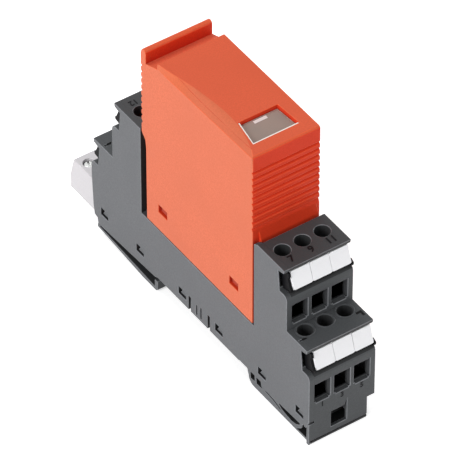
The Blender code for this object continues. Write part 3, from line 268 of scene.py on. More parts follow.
def noise(tree, place, scale, detail, roughness):
    return stage_of(tree, "ShaderNodeTexNoise", {"noise_dimensions": "3D"}, Vector=place, Scale=scale,
                    Detail=detail, Roughness=roughness)


def spread(tree, value, low, high, to_low=0.0, to_high=1.0):
    """Stretches one range of a value over another."""
    return stage_of(tree, "ShaderNodeMapRange", Value=value, From_Min=low, From_Max=high, To_Min=to_low,
                    To_Max=to_high)


def own_place(tree):
    return add(tree, "ShaderNodeTexCoord").outputs["Object"]


def marked(tree, name):
    """How much a mesh attribute marks a place."""
    return add(tree, "ShaderNodeAttribute", attribute_type="GEOMETRY", attribute_name=name).outputs["Fac"]


def bumps(tree, height, strength, distance):
    """A normal bent by the slopes of a height."""
    return stage_of(tree, "ShaderNodeBump", Strength=strength, Distance=distance, Height=height)


def colour_mix(tree, factor, first, second, blend="MIX"):
    """A colour mix; each input is a socket or a fixed colour."""
    mix = add(tree, "ShaderNodeMix", data_type="RGBA", blend_type=blend)
    for place, value in ((0, factor), (6, first), (7, second)):
        feed(mix.inputs[place], value)
    return mix.outputs[2]


def shade_of(colour, factor=1.0):
    return (*[min(1.0, c * factor) for c in colour], 1.0)


def grey(value):
    return (value, value, value, 1.0)


def group_tree(name, inputs, outputs):
    """A new shader node group of plain numbers; inputs are (name, default, lowest, highest)."""
    tree = bpy.data.node_groups.new(name, "ShaderNodeTree")
    for label, default, low, high in inputs:
        socket = tree.interface.new_socket(name=label, in_out="INPUT", socket_type=FLOAT)
        socket.default_value = default
        socket.min_value = low
        socket.max_value = high
    for label in outputs:
        tree.interface.new_socket(name=label, in_out="OUTPUT", socket_type=FLOAT)
    return tree, tree.nodes.new("NodeGroupInput").outputs, tree.nodes.new("NodeGroupOutput")


def grouped(tree, name, **values):
    """The outputs of a shader node group."""
    return put(add(tree, "ShaderNodeGroup", node_tree=bpy.data.node_groups[name]), **values).outputs


# Materials

def moulded_grain_group():
    """Spark-eroded grain of a moulding: its height, a mask of its pits and the slow flow of its colour."""
    tree, value, sink = group_tree(
        "Moulded grain", (("Grain size", 0.00035, 0.00001, 0.01), ("Depth", 1.0, 0.0, 4.0)),
        ("Height", "Pits", "Flow"))
    place = own_place(tree)
    scale = figure(tree, "DIVIDE", 1.0, value["Grain size"])
    fine = noise(tree, place, scale, 3.0, 0.62)
    cells = stage_of(tree, "ShaderNodeTexVoronoi", {"feature": "F1"}, Vector=place,
                     Scale=figure(tree, "MULTIPLY", scale, 0.55))
    height = figure(tree, "MULTIPLY_ADD", cells, 0.35, fine)
    flow = noise(tree, place, 70.0, 2.0, 0.5)
    put(sink, Height=figure(tree, "MULTIPLY", height, value["Depth"]), Pits=spread(tree, fine, 0.38, 0.62),
        Flow=spread(tree, flow, 0.3, 0.7))


def handled_edge_group():
    """Where an edge was rounded, and how much its rim is made pale: partly rubbed wear, partly a painted
    highlight.
    """
    tree, value, sink = group_tree("Handled edge", (("Amount", 0.5, 0.0, 1.0),), ("Rim",))
    wear_and_glint = spread(tree, noise(tree, own_place(tree), 900.0, 2.0, 0.6), 0.3, 0.6, 0.55, 1.0)
    rim = figure(tree, "MULTIPLY", marked(tree, "rim"), wear_and_glint)
    put(sink, Rim=figure(tree, "MULTIPLY", rim, value["Amount"]))


def plated_metal_group():
    """Fine draw marks and spangle of plated metal."""
    tree, value, sink = group_tree("Plated metal", (("Mark size", 0.0004, 0.00001, 0.01),),
                                   ("Height", "Tarnish"))
    place = own_place(tree)
    drawn = stage_of(tree, "ShaderNodeMapping", Vector=place, Scale=(1.0, 1.0, 0.18))
    marks = noise(tree, drawn, figure(tree, "DIVIDE", 1.0, value["Mark size"]), 4.0, 0.65)
    cloud = noise(tree, place, 420.0, 3.0, 0.6)
    put(sink, Height=marks, Tarnish=spread(tree, cloud, 0.35, 0.7))


def moulded_plastic(name, colour, roughness, depth, rim_amount, rim_colour, coarse=1.0, haze=0.0, gloss=0.5,
                    matt_colour=None, mottle=1.0):
    """Grained moulding with slightly uneven colour, rounded edges made pale partly by wear and partly by a
    painted highlight, sides made paler by painted sheen, and painted shade darkening its hollows and gaps.
    """
    grain = bpy.context.scene.arrester_moulding.grain * coarse
    tree, shader = new_material(name)
    surface = grouped(tree, "Moulded grain", Grain_size=grain, Depth=depth)
    edge = grouped(tree, "Handled edge", Amount=rim_amount)
    # Painted sheen: marked side faces take the paler sheen colour
    body = colour_mix(tree, marked(tree, "matt"), shade_of(colour), shade_of(matt_colour or colour))
    even = colour_mix(tree, surface["Flow"], grey(1 - 0.06 * mottle), grey(1 + 0.05 * mottle))
    tone = colour_mix(tree, surface["Pits"], grey(1 - 0.08 * mottle), even)
    toned = colour_mix(tree, 1.0, body, tone, "MULTIPLY")
    # Pale rims: partly wear, partly a painted highlight on the rounded edges
    rimmed = colour_mix(tree, edge["Rim"], toned, shade_of(rim_colour))
    # Painted shade: marked faces in hollows and gaps are darkened towards 0.12 of the colour
    put(shader, Base_Color=colour_mix(tree, marked(tree, "deep"), rimmed, shade_of(colour, 0.12)),
        Roughness=spread(tree, surface["Pits"], 0.0, 1.0, roughness + 0.05, roughness - 0.06),
        Normal=bumps(tree, surface["Height"], 0.22, 0.00004),
        IOR=1.5, Specular_IOR_Level=gloss, Sheen_Weight=haze, Sheen_Roughness=0.6)


def plated_steel(name, colour, roughness, mark):
    """Plated sheet or turned metal with draw marks, dull clouds, and edges made bright partly by wear and
    partly by a painted highlight.
    """
    tree, shader = new_material(name)
    surface = grouped(tree, "Plated metal", Mark_size=mark)
    edge = grouped(tree, "Handled edge", Amount=0.6)
    toned = colour_mix(tree, surface["Tarnish"], shade_of(colour, 1.05), shade_of(colour, 0.78))
    # Bright rims: partly wear, partly a painted highlight on the rounded edges
    put(shader, Base_Color=colour_mix(tree, edge["Rim"], toned, shade_of(colour, 1.3)), Metallic=1.0,
        Roughness=spread(tree, surface["Tarnish"], 0.0, 1.0, roughness - 0.07, roughness + 0.12),
        Normal=bumps(tree, surface["Height"], 0.25, 0.00003))


def window_plastic():
    """Smoked clear plastic of the status window, with a painted highlight along its rim."""
    tree, shader = new_material("Smoked window")
    surface = grouped(tree, "Moulded grain", Grain_size=0.0011, Depth=0.3)
    edge = grouped(tree, "Handled edge", Amount=1.0)
    tint = colour_mix(tree, surface["Flow"], (0.29, 0.24, 0.21, 1.0), (0.46, 0.30, 0.24, 1.0))
    # Painted highlight: the rounded rim is mixed towards near-white
    put(shader, Base_Color=colour_mix(tree, edge["Rim"], tint, (0.95, 0.90, 0.84, 1.0)),
        Roughness=spread(tree, surface["Pits"], 0.0, 1.0, 0.16, 0.24),
        Normal=bumps(tree, surface["Height"], 0.05, 0.00002), IOR=1.49, Transmission_Weight=0.25)


def circuit_board():
    """Green board with raised tracks."""
    tree, shader = new_material("Circuit board")
    quarter = math.radians(90)
    turned = stage_of(tree, "ShaderNodeMapping", Vector=own_place(tree), Rotation=(0.0, quarter, 0.0))
    tracks = put(add(tree, "ShaderNodeTexBrick"), Vector=turned, Scale=260.0, Mortar_Size=0.03,
                 Color1=(0.03, 0.17, 0.07, 1.0), Color2=(0.035, 0.20, 0.085, 1.0),
                 Mortar=(0.09, 0.33, 0.14, 1.0)).outputs
    put(shader, Base_Color=tracks["Color"], Roughness=0.35, Normal=bumps(tree, tracks["Fac"], 0.3, 0.00004))


class ARRESTER_OT_materials(bpy.types.Operator):
    """Build the plastics, metals, window and board materials"""
    bl_idname = "arrester.materials"
    bl_label = "Materials"

    def execute(self, context):
        mould = context.scene.arrester_moulding
        marker = context.scene.arrester_marker
        # Painted shade: near-black for the marker catches and the numbers, standing in for the shade they lie
        # in
        painted_shade_black = (0.006, 0.006, 0.007)
        moulded_grain_group()
        handled_edge_group()
        plated_metal_group()
        # The base's and the plug's sheen colours are painted sheen on their sides
        moulded_plastic("Base plastic", tuple(mould.base_colour), 0.52, 1.0, 0.6, (0.30, 0.31, 0.33),
                        haze=0.07, gloss=0.22, matt_colour=tuple(mould.base_matt))
        moulded_plastic("Number plastic", painted_shade_black, 0.4, 0.5, 0.4, (0.05, 0.052, 0.055), gloss=0.12)
        moulded_plastic("Catch plastic", painted_shade_black, 0.5, 0.5, 0.2, (0.03, 0.031, 0.033), gloss=0.06)
        moulded_plastic("Plug plastic", tuple(mould.plug_colour), 0.46, 0.8, 0.32, (0.90, 0.13, 0.04),
                        haze=0.05, gloss=0.12, matt_colour=tuple(mould.plug_matt))
        moulded_plastic("Marker plastic", tuple(marker.colour), 0.42, 0.2, 0.3, (0.97, 0.97, 0.98), 1.6,
                        mottle=0.15)
        moulded_plastic("Connector plastic", tuple(mould.signal_colour), 0.46, 0.7, 0.4, (0.60, 0.58, 0.60),
                        mottle=0.5)
        moulded_plastic("Light guide", (0.50, 0.47, 0.45), 0.30, 0.3, 0.2, (0.62, 0.60, 0.57))
        moulded_plastic("Status flag", (0.72, 0.62, 0.60), 0.30, 0.3, 0.2, (0.80, 0.72, 0.70), mottle=0.5)
        # Painted highlight: near-white colour of the strip along the window's edges
        moulded_plastic("Window rim", (0.93, 0.88, 0.82), 0.22, 0.2, 0.3, (1.0, 0.96, 0.90), mottle=0.3)
        moulded_plastic("Ceramic", (0.76, 0.74, 0.70), 0.35, 0.6, 0.2, (0.84, 0.82, 0.79), 2)
        moulded_plastic("Black compound", (0.028, 0.028, 0.03), 0.45, 1.0, 0.3, (0.08, 0.08, 0.08))
        plated_steel("Zinc plating", (0.36, 0.37, 0.37), 0.36, 0.0003)
        plated_steel("Connector screw steel", (0.66, 0.67, 0.66), 0.32, 0.0003)
        plated_steel("Cage steel", (0.42, 0.41, 0.38), 0.40, 0.0004)
        plated_steel("Tinned copper", (0.60, 0.56, 0.49), 0.36, 0.0004)
        window_plastic()
        circuit_board()
        return {"FINISHED"}


# Geometry node trees for what repeats

def geometry_tree(name, **inputs):
    """A new geometry node tree; its inputs are the ones named with their defaults, a place and a material."""
    tree = bpy.data.node_groups.new(name, "GeometryNodeTree")
    for key, default in inputs.items():
        kind = INTEGER if isinstance(default, int) else FLOAT
        label = key.replace("_", " ")
        tree.interface.new_socket(name=label, in_out="INPUT", socket_type=kind).default_value = default
    tree.interface.new_socket(name="Place", in_out="INPUT", socket_type="NodeSocketVector")
    tree.interface.new_socket(name="Material", in_out="INPUT", socket_type="NodeSocketMaterial")
    tree.interface.new_socket(name="Geometry", in_out="OUTPUT", socket_type="NodeSocketGeometry")
    return tree, tree.nodes.new("NodeGroupInput").outputs, tree.nodes.new("NodeGroupOutput")


def hand_over(tree, shape, value, sink, turn=None):
    """Ends a tree: turns its shape, sets it in place and makes it real geometry with its material."""
    real = stage_of(tree, "GeometryNodeRealizeInstances", Geometry=moved(tree, shape, value["Place"], turn))
    put(sink, Geometry=stage_of(tree, "GeometryNodeSetMaterial", Geometry=real, Material=value["Material"]))


def row_of(tree, shape, value, turn=None):
    """Copies of a shape in a row along X, centred on the origin, by the tree's count and pitch."""
    count, pitch = value["Count"], value["Pitch"]
    length = figure(tree, "MULTIPLY", figure(tree, "SUBTRACT", count, 1), pitch)
    start = point(tree, figure(tree, "MULTIPLY", length, -0.5), 0.0, 0.0)
    line = stage_of(tree, "GeometryNodeMeshLine", Count=count, Start_Location=start,
                    Offset=point(tree, pitch, 0.0, 0.0))
    return stage_of(tree, "GeometryNodeInstanceOnPoints", Points=line, Instance=shape, Rotation=turn)


def rotation(tree, *angles):
    return stage_of(tree, "FunctionNodeEulerToRotation", Euler=point(tree, *angles))


def moved(tree, shape, place, turn=None):
    return stage_of(tree, "GeometryNodeTransform", Geometry=shape, Translation=place, Rotation=turn)


def circle(tree, sides, radius):
    return stage_of(tree, "GeometryNodeCurvePrimitiveCircle", Resolution=sides, Radius=radius)


def rectangle(tree, width, height):
    return stage_of(tree, "GeometryNodeCurvePrimitiveQuadrilateral", Width=width, Height=height)


def by_index(tree, index, values):
    """One of several values, picked by a number that counts from zero."""
    node = add(tree, "GeometryNodeIndexSwitch", data_type="FLOAT")
    while len(node.index_switch_items) < len(values):
        node.index_switch_items.new()
    for socket, value in zip(node.inputs, (index, *values)):
        feed(socket, value)
    return node.outputs[0]


def screw_tree():
    """A slotted screw on its tip: ridged shank, chamfered head, and the slot across it."""
    tree, value, sink = geometry_tree(
        "Slotted screw", Head_radius=0.00175, Head_height=0.0016, Chamfer=0.0002, Shank_radius=0.00125,
        Length=0.0066, Ridges=9, Ridge_height=0.00014, Slot_width=0.0006, Slot_depth=0.0008, Slot_angle=0.0)
    turns = figure(tree, "MULTIPLY", value["Ridges"], 2)
    index = add(tree, "GeometryNodeInputIndex").outputs[0]
    past = figure(tree, "SUBTRACT", index, turns)
    seat = figure(tree, "SUBTRACT", value["Length"], value["Head height"])
    shank_z = figure(tree, "MULTIPLY", index, figure(tree, "DIVIDE", seat, figure(tree, "ADD", turns, 1)))
    dip = figure(tree, "MULTIPLY", figure(tree, "MODULO", index, 2), value["Ridge height"])
    shank_r = figure(tree, "SUBTRACT", value["Shank radius"], dip)
    narrow = figure(tree, "SUBTRACT", value["Head radius"], value["Chamfer"])
    shoulder = figure(tree, "SUBTRACT", value["Length"], value["Chamfer"])
    head_z = by_index(tree, past, (figure(tree, "SUBTRACT", seat, 0.00001), seat, shoulder, value["Length"]))
    head_r = by_index(tree, past, (value["Shank radius"], value["Head radius"], value["Head radius"], narrow))
    in_head = figure(tree, "GREATER_THAN", past, -0.5)
    height, radius = [in_order(tree, "GeometryNodeSwitch", (in_head, *pair), input_type="FLOAT")
                      for pair in ((shank_z, head_z), (shank_r, head_r))]
    line = stage_of(tree, "GeometryNodeCurvePrimitiveLine", Start=(0.0, 0.0, 0.0), End=(0.0, 0.0, 0.01))
    path = stage_of(tree, "GeometryNodeResampleCurve", Curve=line, Count=figure(tree, "ADD", turns, 4))
    path = stage_of(tree, "GeometryNodeSetPosition", Geometry=path, Position=point(tree, 0.0, 0.0, height))
    turned = stage_of(tree, "GeometryNodeCurveToMesh", Curve=path, Profile_Curve=circle(tree, 28, 1.0),
                      Scale=radius, Fill_Caps=True)
    across = stage_of(tree, "GeometryNodeMeshCube", Size=point(
        tree, figure(tree, "MULTIPLY", value["Head radius"], 4.0), value["Slot width"],
        figure(tree, "MULTIPLY", value["Slot depth"], 2.0)))
    across = moved(tree, across, point(tree, 0.0, 0.0, value["Length"]),
                   rotation(tree, 0.0, 0.0, value["Slot angle"]))
    cut = put(add(tree, "GeometryNodeMeshBoolean", operation="DIFFERENCE", solver="EXACT"),
              Mesh_1=turned, Mesh_2=across)
    hand_over(tree, cut.outputs[0], value, sink)


def tile_tree():
    """A row of thin tiles with rounded corners, tilted about X and set in place."""
    tree, value, sink = geometry_tree("Marker tiles", Width=0.005, Height=0.0047, Thickness=0.0003,
                                      Corner=0.0004, Count=3, Pitch=0.0052, Tilt=0.0)
    edge = stage_of(tree, "GeometryNodeFilletCurve", {"mode": "POLY"}, Count=4, Radius=value["Corner"],
                    Curve=rectangle(tree, value["Width"], value["Height"]), Limit_Radius=True)
    face = stage_of(tree, "GeometryNodeFillCurve", {"mode": "NGONS"}, Curve=edge)
    raised = stage_of(tree, "GeometryNodeExtrudeMesh", Mesh=face, Offset=(0.0, 0.0, 1.0),
                      Offset_Scale=value["Thickness"], Individual=False)
    join = add(tree, "GeometryNodeJoinGeometry")
    for half in (raised, stage_of(tree, "GeometryNodeFlipFaces", Mesh=face)):
        tree.links.new(half, join.inputs[0])
    tile = stage_of(tree, "GeometryNodeMergeByDistance", Geometry=join.outputs[0], Distance=0.000001)
    hand_over(tree, row_of(tree, tile, value), value, sink, rotation(tree, value["Tilt"], 0.0, 0.0))


def collar_tree():
    """A row of round beads lying flat, one round each screw well."""
    tree, value, sink = geometry_tree("Well collars", Radius=0.0021, Bead=0.00016, Count=3, Pitch=0.00535)
    ring = stage_of(tree, "GeometryNodeCurveToMesh", Curve=circle(tree, 40, value["Radius"]),
                    Profile_Curve=circle(tree, 10, value["Bead"]))
    hand_over(tree, row_of(tree, ring, value), value, sink)


def entry_frame_tree():
    """A row of upright rectangular frames, one inside each wire entry."""
    tree, value, sink = geometry_tree("Entry frames", Width=0.004, Height=0.0054, Bead=0.0004, Count=3,
                                      Pitch=0.00535)
    ring = stage_of(tree, "GeometryNodeCurveToMesh", Curve=rectangle(tree, value["Width"], value["Height"]),
                    Profile_Curve=rectangle(tree, value["Bead"], value["Bead"]))
    hand_over(tree, row_of(tree, ring, value, rotation(tree, math.radians(90), 0.0, 0.0)), value, sink)


class ARRESTER_OT_trees(bpy.types.Operator):
    """Build the geometry node trees for screws, marker tiles, well collars and entry frames"""
    bl_idname = "arrester.trees"
    bl_label = "Repeated shapes"

    def execute(self, context):
        for build in (screw_tree, tile_tree, collar_tree, entry_frame_tree):
            build()
        return {"FINISHED"}


def grown(tree_name, look, **values):
    """The plain mesh that a geometry node tree gives for these inputs."""
    tree = bpy.data.node_groups[tree_name]
    mesh = bpy.data.meshes.new(tree_name)
    holder = linked(tree_name, mesh)
    step = holder.modifiers.new("grow", "NODES")
    step.node_group = tree
    values["Material"] = bpy.data.materials[look]
    for item in tree.interface.items_tree:
        key = item.name.replace(" ", "_")
        if item.in_out == "INPUT" and key in values:
            step[item.identifier] = values[key]
    made = evaluated(holder)
    bpy.data.objects.remove(holder, do_unlink=True)
    bpy.data.meshes.remove(mesh)
    return made


# Mesh helpers

def linked(name, data):
    """A new object of this data in the scene."""
    made = bpy.data.objects.new(name, data)
    bpy.context.scene.collection.objects.link(made)
    return made


def evaluated(holder):
    """The mesh that an object's modifiers give."""
    bpy.context.view_layer.update()
    view = holder.evaluated_get(bpy.context.evaluated_depsgraph_get())
    return bpy.data.meshes.new_from_object(view)


def mesh_of(work, name):
    """Turns a bmesh into a mesh, and uses it up."""
    mesh = bpy.data.meshes.new(name)
    work.to_mesh(mesh)
    work.free()
    return mesh


def taken_in(work, *meshes):
    """Adds meshes to a bmesh, and removes them."""
    for mesh in meshes:
        work.from_mesh(mesh)
        bpy.data.meshes.remove(mesh)
    return work


def tidy(work):
    """Joins doubled points and the pieces of flat faces."""
    bmesh.ops.remove_doubles(work, verts=work.verts, dist=CAD_JOIN)
    bmesh.ops.dissolve_limit(work, angle_limit=math.radians(0.5), verts=work.verts, edges=work.edges)
    for vert in [v for v in work.verts if len(v.link_edges) == 2]:
        first, second = [(edge.other_vert(vert).co - vert.co).normalized() for edge in vert.link_edges]
        if first.dot(second) < -0.99999:
            bmesh.ops.dissolve_verts(work, verts=[vert])
    return work


def merged_copy(node):
    """A CAD node's shape as a bmesh of joined triangles."""
    work = bmesh.new()
    work.from_mesh(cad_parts[node].data)
    bmesh.ops.remove_doubles(work, verts=work.verts, dist=CAD_JOIN)
    return work


def box(low, high):
    """A box from its low and high corner in millimetres."""
    work = bmesh.new()
    middle = Vector([(a + b) / 2 * MM for a, b in zip(low, high)])
    size = [(b - a) * MM for a, b in zip(low, high)]
    bmesh.ops.create_cube(work, size=1.0, matrix=Matrix.Translation(middle) @ Matrix.Diagonal((*size, 1.0)))
    return work


def box_beside(side, x, out, z):
    """A box at one end, from its ranges on X, out from the middle and on Z in millimetres."""
    near, far = sorted(side * place for place in out)
    return box((min(x), near, min(z)), (max(x), far, max(z)))


def solid_between(outline, opposite):
    """A solid between two like outlines of places in millimetres."""
    work = bmesh.new()
    first, last = [[work.verts.new(Vector(place) * MM) for place in ring] for ring in (outline, opposite)]
    work.faces.new(first)
    work.faces.new(reversed(last))
    for i, corner in enumerate(first):
        work.faces.new((corner, first[i - 1], last[i - 1], last[i]))
    bmesh.ops.recalc_face_normals(work, faces=work.faces)
    return work


def carved(work, boxes):
    """Cuts boxes out of a bmesh."""
    if not boxes:
        return tidy(work)
    body = linked("carved", mesh_of(work, "carved"))
    cutters = [linked("cutter", mesh_of(cut, "cutter")) for cut in boxes]
    for cutter in cutters:
        step = body.modifiers.new("cut", "BOOLEAN")
        step.operation = "DIFFERENCE"
        step.solver = "EXACT"
        step.object = cutter
    mesh = evaluated(body)
    for item in (body, *cutters):
        old = item.data
        bpy.data.objects.remove(item, do_unlink=True)
        bpy.data.meshes.remove(old)
    return tidy(taken_in(bmesh.new(), mesh))


def along_seam(edge):
    """Whether an edge lies where a side cover meets its housing, which stays sharp."""
    return all(SEAM_LEFT < vert.co.x < SEAM_RIGHT for vert in edge.verts)


def round_edges(work, width, least=30.0, segments=2):
    """Rounds the outer edges and marks the rounded faces as rim."""
    mark = rim_layer(work)
    sharp = []
    for edge in work.edges:
        if len(edge.link_faces) != 2 or not edge.is_convex or along_seam(edge):
            continue
        if edge.calc_face_angle(0.0) > math.radians(least) and edge.calc_length() > width:
            sharp.append(edge)
    made = bmesh.ops.bevel(work, geom=sharp, offset=width, offset_type="OFFSET", segments=segments,
                           profile=0.5, affect="EDGES", clamp_overlap=False, miter_outer="SHARP",
                           miter_inner="SHARP")
    for face in made["faces"]:
        face[mark] = 1.0
    return work


def rim_layer(work):
    return work.faces.layers.float.get("rim_face") or work.faces.layers.float.new("rim_face")


def settle_normals(mesh, rim):
    """Sets each corner's normal so that wide flat faces stay flat beside their rounded rims."""
    normals = [face.normal.copy() for face in mesh.polygons]
    weight = [face.area * (0.001 if rim[face.index] else 1.0) for face in mesh.polygons]
    around = [[] for _ in mesh.vertices]
    for face in mesh.polygons:
        for vert in face.vertices:
            around[vert].append(face.index)
    corners = [None] * len(mesh.loops)
    for face in mesh.polygons:
        limit = 0.5 if rim[face.index] else 0.85
        own = normals[face.index]
        for place in face.loop_indices:
            total = own * weight[face.index]
            for other in around[mesh.loops[place].vertex_index]:
                if other != face.index and own.dot(normals[other]) > limit:
                    total = total + normals[other] * weight[other]
            corners[place] = total.normalized()
    mesh.normals_split_custom_set(corners)


def finished_mesh(work, name):
    """Turns a bmesh into a smooth-shaded mesh whose rounded faces are marked in the attribute rim."""
    rim_layer(work)
    mesh = mesh_of(work, name)
    rim = [item.value > 0.5 for item in mesh.attributes["rim_face"].data]
    mesh.attributes.remove(mesh.attributes["rim_face"])
    mesh.shade_smooth()
    settle_normals(mesh, rim)
    mark_corners(mesh, "rim", rim)
    return mesh


def mark_corners(mesh, name, marks):
    """Stores one value for each face as an attribute of its corners."""
    values = [0.0] * len(mesh.loops)
    for face in mesh.polygons:
        for place in face.loop_indices:
            values[place] = float(marks[face.index])
    mesh.attributes.new(name, "FLOAT", "CORNER").data.foreach_set("value", values)


def solid_of(*meshes):
    """One bmesh of several meshes, with closed solids that face outwards."""
    work = taken_in(bmesh.new(), *meshes)
    bmesh.ops.remove_doubles(work, verts=work.verts, dist=GROWN_JOIN)
    bmesh.ops.recalc_face_normals(work, faces=work.faces)
    return work


# Which faces get painted sheen, and which get painted shade

def within(value, limits):
    return limits[0] < value < limits[1]


def painted_sheen_share(face, node):
    """How much painted sheen a face gets, a paler colour that stands in for the sheen of light: fully on the
    sides, and partly on the plug's top.
    """
    normal = face.normal
    if node.startswith("plug") and normal.z > 0.6 and face.center.z > PLUG_TOP_LOW * MM:
        return 0.6 + 0.4 * min(1.0, abs(normal.x) / 0.22)
    if node == "plug_housing" and normal.x < -0.3:
        return 0.0
    return min(1.0, abs(normal.x) / 0.6) if abs(normal.x) > 0.3 else 0.0


def beside_plug(face, place):
    """Whether a face looks into the narrow gap between the plug and the base."""
    return abs(face.normal.y) > 0.9 and within(abs(place.y), PLUG_GAP_OUT) and place.z > PLUG_GAP_LOW


def upper_painted_shade(face, place):
    """How much painted shade darkens a face of the upper steps' tops."""
    return 0.35 if face.normal.z > 0.9 and abs(place.z - UPPER_TOP) < 0.1 else 0.0


def painted_shade_in_plug(face, place):
    """How much painted shade darkens a face of the plug's housing: its catches, far inside the side cover's
    windows.
    """
    return 0.5 if place.x < PLUG_CATCH_X and within(place.z, PLUG_CATCH_Z) else 0.0


def painted_shade_in_cover(face, place):
    """How much painted shade darkens a face of the base's side cover: the walls of its windows and slots."""
    is_wall = abs(face.normal.x) < 0.5
    in_window = is_wall and within(place.z, SNAP_WINDOW_Z) and place.x > SNAP_WINDOW_LEFT
    in_slot = is_wall and abs(place.y) < SLOTS_HALF and within(place.z, SLOTS_Z)
    return 1.0 if in_window or in_slot or beside_plug(face, place) else upper_painted_shade(face, place)


def painted_shade_in_base(face, place):
    """How much painted shade darkens a face of the base body: screw wells, wire entries, engraved lines and
    what a gap shows.
    """
    if beside_plug(face, place) or (within(place.x, BACKS_X) and face.normal.x < -0.5):
        return 1.0
    if place.x < HOOK_X and within(place.y, HOOK_Y) and within(place.z, HOOK_Z) and abs(face.normal.z) > 0.5:
        return 0.8
    for _, wall, top in LEVELS:
        inward, below = wall - abs(place.y), top - place.z
        if abs(place.x) > LINE_X and within(inward, LINE_IN) and within(below, LINE_DROP):
            return 1.0
        if within(inward, WELL_IN) and within(below, WELL_DROP):
            if any(abs(place.x - column) < WELL_HALF for column in COLUMNS):
                return 0.45 if below > WELL_FLOOR else 0.85
    return upper_painted_shade(face, place)


def painted_shade_in_foot(face, place):
    """How much painted shade darkens a face of the rail foot: what shows in its slots and over its spring
    arm.
    """
    in_gap = abs(face.normal.x) < 0.5 and face.normal.z > -0.5 and place.z < FOOT_GAP_TOP
    return 1.0 if in_gap or (face.normal.x < -0.5 and place.x > FOOT_BACK_X) else 0.0


# The material, the body and the slot of the base's and of the plug's mouldings
BASE, PLUG = ("Base plastic", "base", "base_grey"), ("Plug plastic", "plug", "plug_orange")
# Which function gives the painted shade of each moulding's faces
PAINTED_SHADE_PLACES = {"base_body": painted_shade_in_base, "base_side_cover": painted_shade_in_cover, "foot_latch": painted_shade_in_foot,
               "plug_housing": painted_shade_in_plug}


# Finished pieces

def link_piece(name, work, look, body, slot_name, *nodes):
    """Makes a finished piece that rides on a body, in place of the CAD nodes named, and gives its mesh."""
    mesh = finished_mesh(work, nodes[0] if nodes else name)
    piece = linked(name, mesh)
    mesh.materials.clear()
    mesh.materials.append(bpy.data.materials[look])
    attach(piece, body)
    if nodes:
        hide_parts(*nodes)
    return mesh


def dress_moulding(node, look, body, slot_name, width, least=30.0, segments=2, boxes=()):
    """Stands a rounded copy of a moulded CAD node in its place."""
    work = carved(merged_copy(node), boxes)
    if node.endswith("side_cover"):
        for vert in work.verts:
            if SEAM_LEFT < vert.co.x < SEAM_RIGHT:
                vert.co.x += SEAM_FILL
    round_edges(work, width, least, segments)
    mesh = link_piece(node + "_moulding", work, look, body, slot_name, node)
    # Painted sheen: side faces are marked to take the paler sheen colour
    mark_corners(mesh, "matt", [painted_sheen_share(face, node) for face in mesh.polygons])
    # Painted shade: faces in hollows and gaps are marked to be darkened
    if node in PAINTED_SHADE_PLACES:
        mark_corners(mesh, "deep", [PAINTED_SHADE_PLACES[node](face, face.center / MM) for face in mesh.polygons])


def dress_nodes(look, *nodes):
    """Gives CAD nodes that keep their shapes a finished material."""
    for node in nodes:
        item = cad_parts[node]
        if not item.material_slots:
            item.data.materials.append(bpy.data.materials[look])
        for place in item.material_slots:
            place.link = "OBJECT"
            place.material = bpy.data.materials[look]


def midway(y, z):
    """A place in the middle of the width, in metres."""
    return (0.0, y * MM, z * MM)


def numbered(*names):
    """Each name with each terminal's number behind it."""
    return [f"{name}_{number}" for name in names for number in NUMBERS]


def marker_recesses():
    """The dark gaps beside the marker strips' left ends, as boxes to cut."""
    return [box_beside(side, RECESS_X, [wall - inward for inward in RECESS_IN],
                       [top - drop for drop in RECESS_DROP]) for _, side, wall, top in STEPS]


def engraved_corners():
    """Engraved corner lines beside the lower screws, as boxes to cut."""
    _, wall, top = LEVELS[0]
    start = wall - LINE_SET_BACK
    return [box_beside(side, (left, right), (start, start + length), (top - LINE_DEPTH, top + 1.0))
            for _, side in ENDS for left, right, length in CORNER_LINES]


def slot_backs():
    """Deep backs behind the side cover's slots, as boxes to cut."""
    left, right = SLOT_BACK_X
    return [box((left, y - half, SLOT_BACK_LOW), (right, y + half, top)) for y, half, top in SLOT_BACKS]


class ARRESTER_OT_base(bpy.types.Operator):
    """Dress the base body, its side cover, the foot and the contact bars"""
    bl_idname = "arrester.base"
    bl_label = "Base mouldings"

    def execute(self, context):
        width = context.scene.arrester_moulding.edge
        dress_moulding("base_body", *BASE, width, boxes=marker_recesses() + engraved_corners() + slot_backs())
        dress_moulding("base_side_cover", *BASE, width, boxes=marker_recesses() + engraved_corners())
        dress_moulding("foot_latch", "Base plastic", "foot", "base_grey", width)
        dress_nodes("Tinned copper", *numbered(*[f"contact_bar_{name}" for name, *_ in STEPS]))
        return {"FINISHED"}


class ARRESTER_OT_rims(bpy.types.Operator):
    """Set the collars round the lower wells and the inner frames of the wire entries"""
    bl_idname = "arrester.rims"
    bl_label = "Terminal rims"

    def execute(self, context):
        settings = context.scene.arrester_terminals
        row = {"Count": len(COLUMNS), "Pitch": PITCH * MM, "look": "Base plastic"}
        meshes = []
        for name, side, wall, top in STEPS:
            if name.endswith("lower"):
                meshes.append(grown("Well collars", Radius=COLLAR_RADIUS * MM, Bead=settings.collar, **row,
                                    Place=midway(side * (wall - SCREW_SET_BACK), top - COLLAR_SUNK)))
            meshes.append(grown("Entry frames", Width=ENTRY_WIDTH * MM, Height=ENTRY_HEIGHT * MM,
                                Bead=settings.frame_bead, **row,
                                Place=midway(side * (wall - ENTRY_SET_BACK), top - ENTRY_DROP)))
        link_piece("terminal_rims", solid_of(*meshes), *BASE)
        return {"FINISHED"}


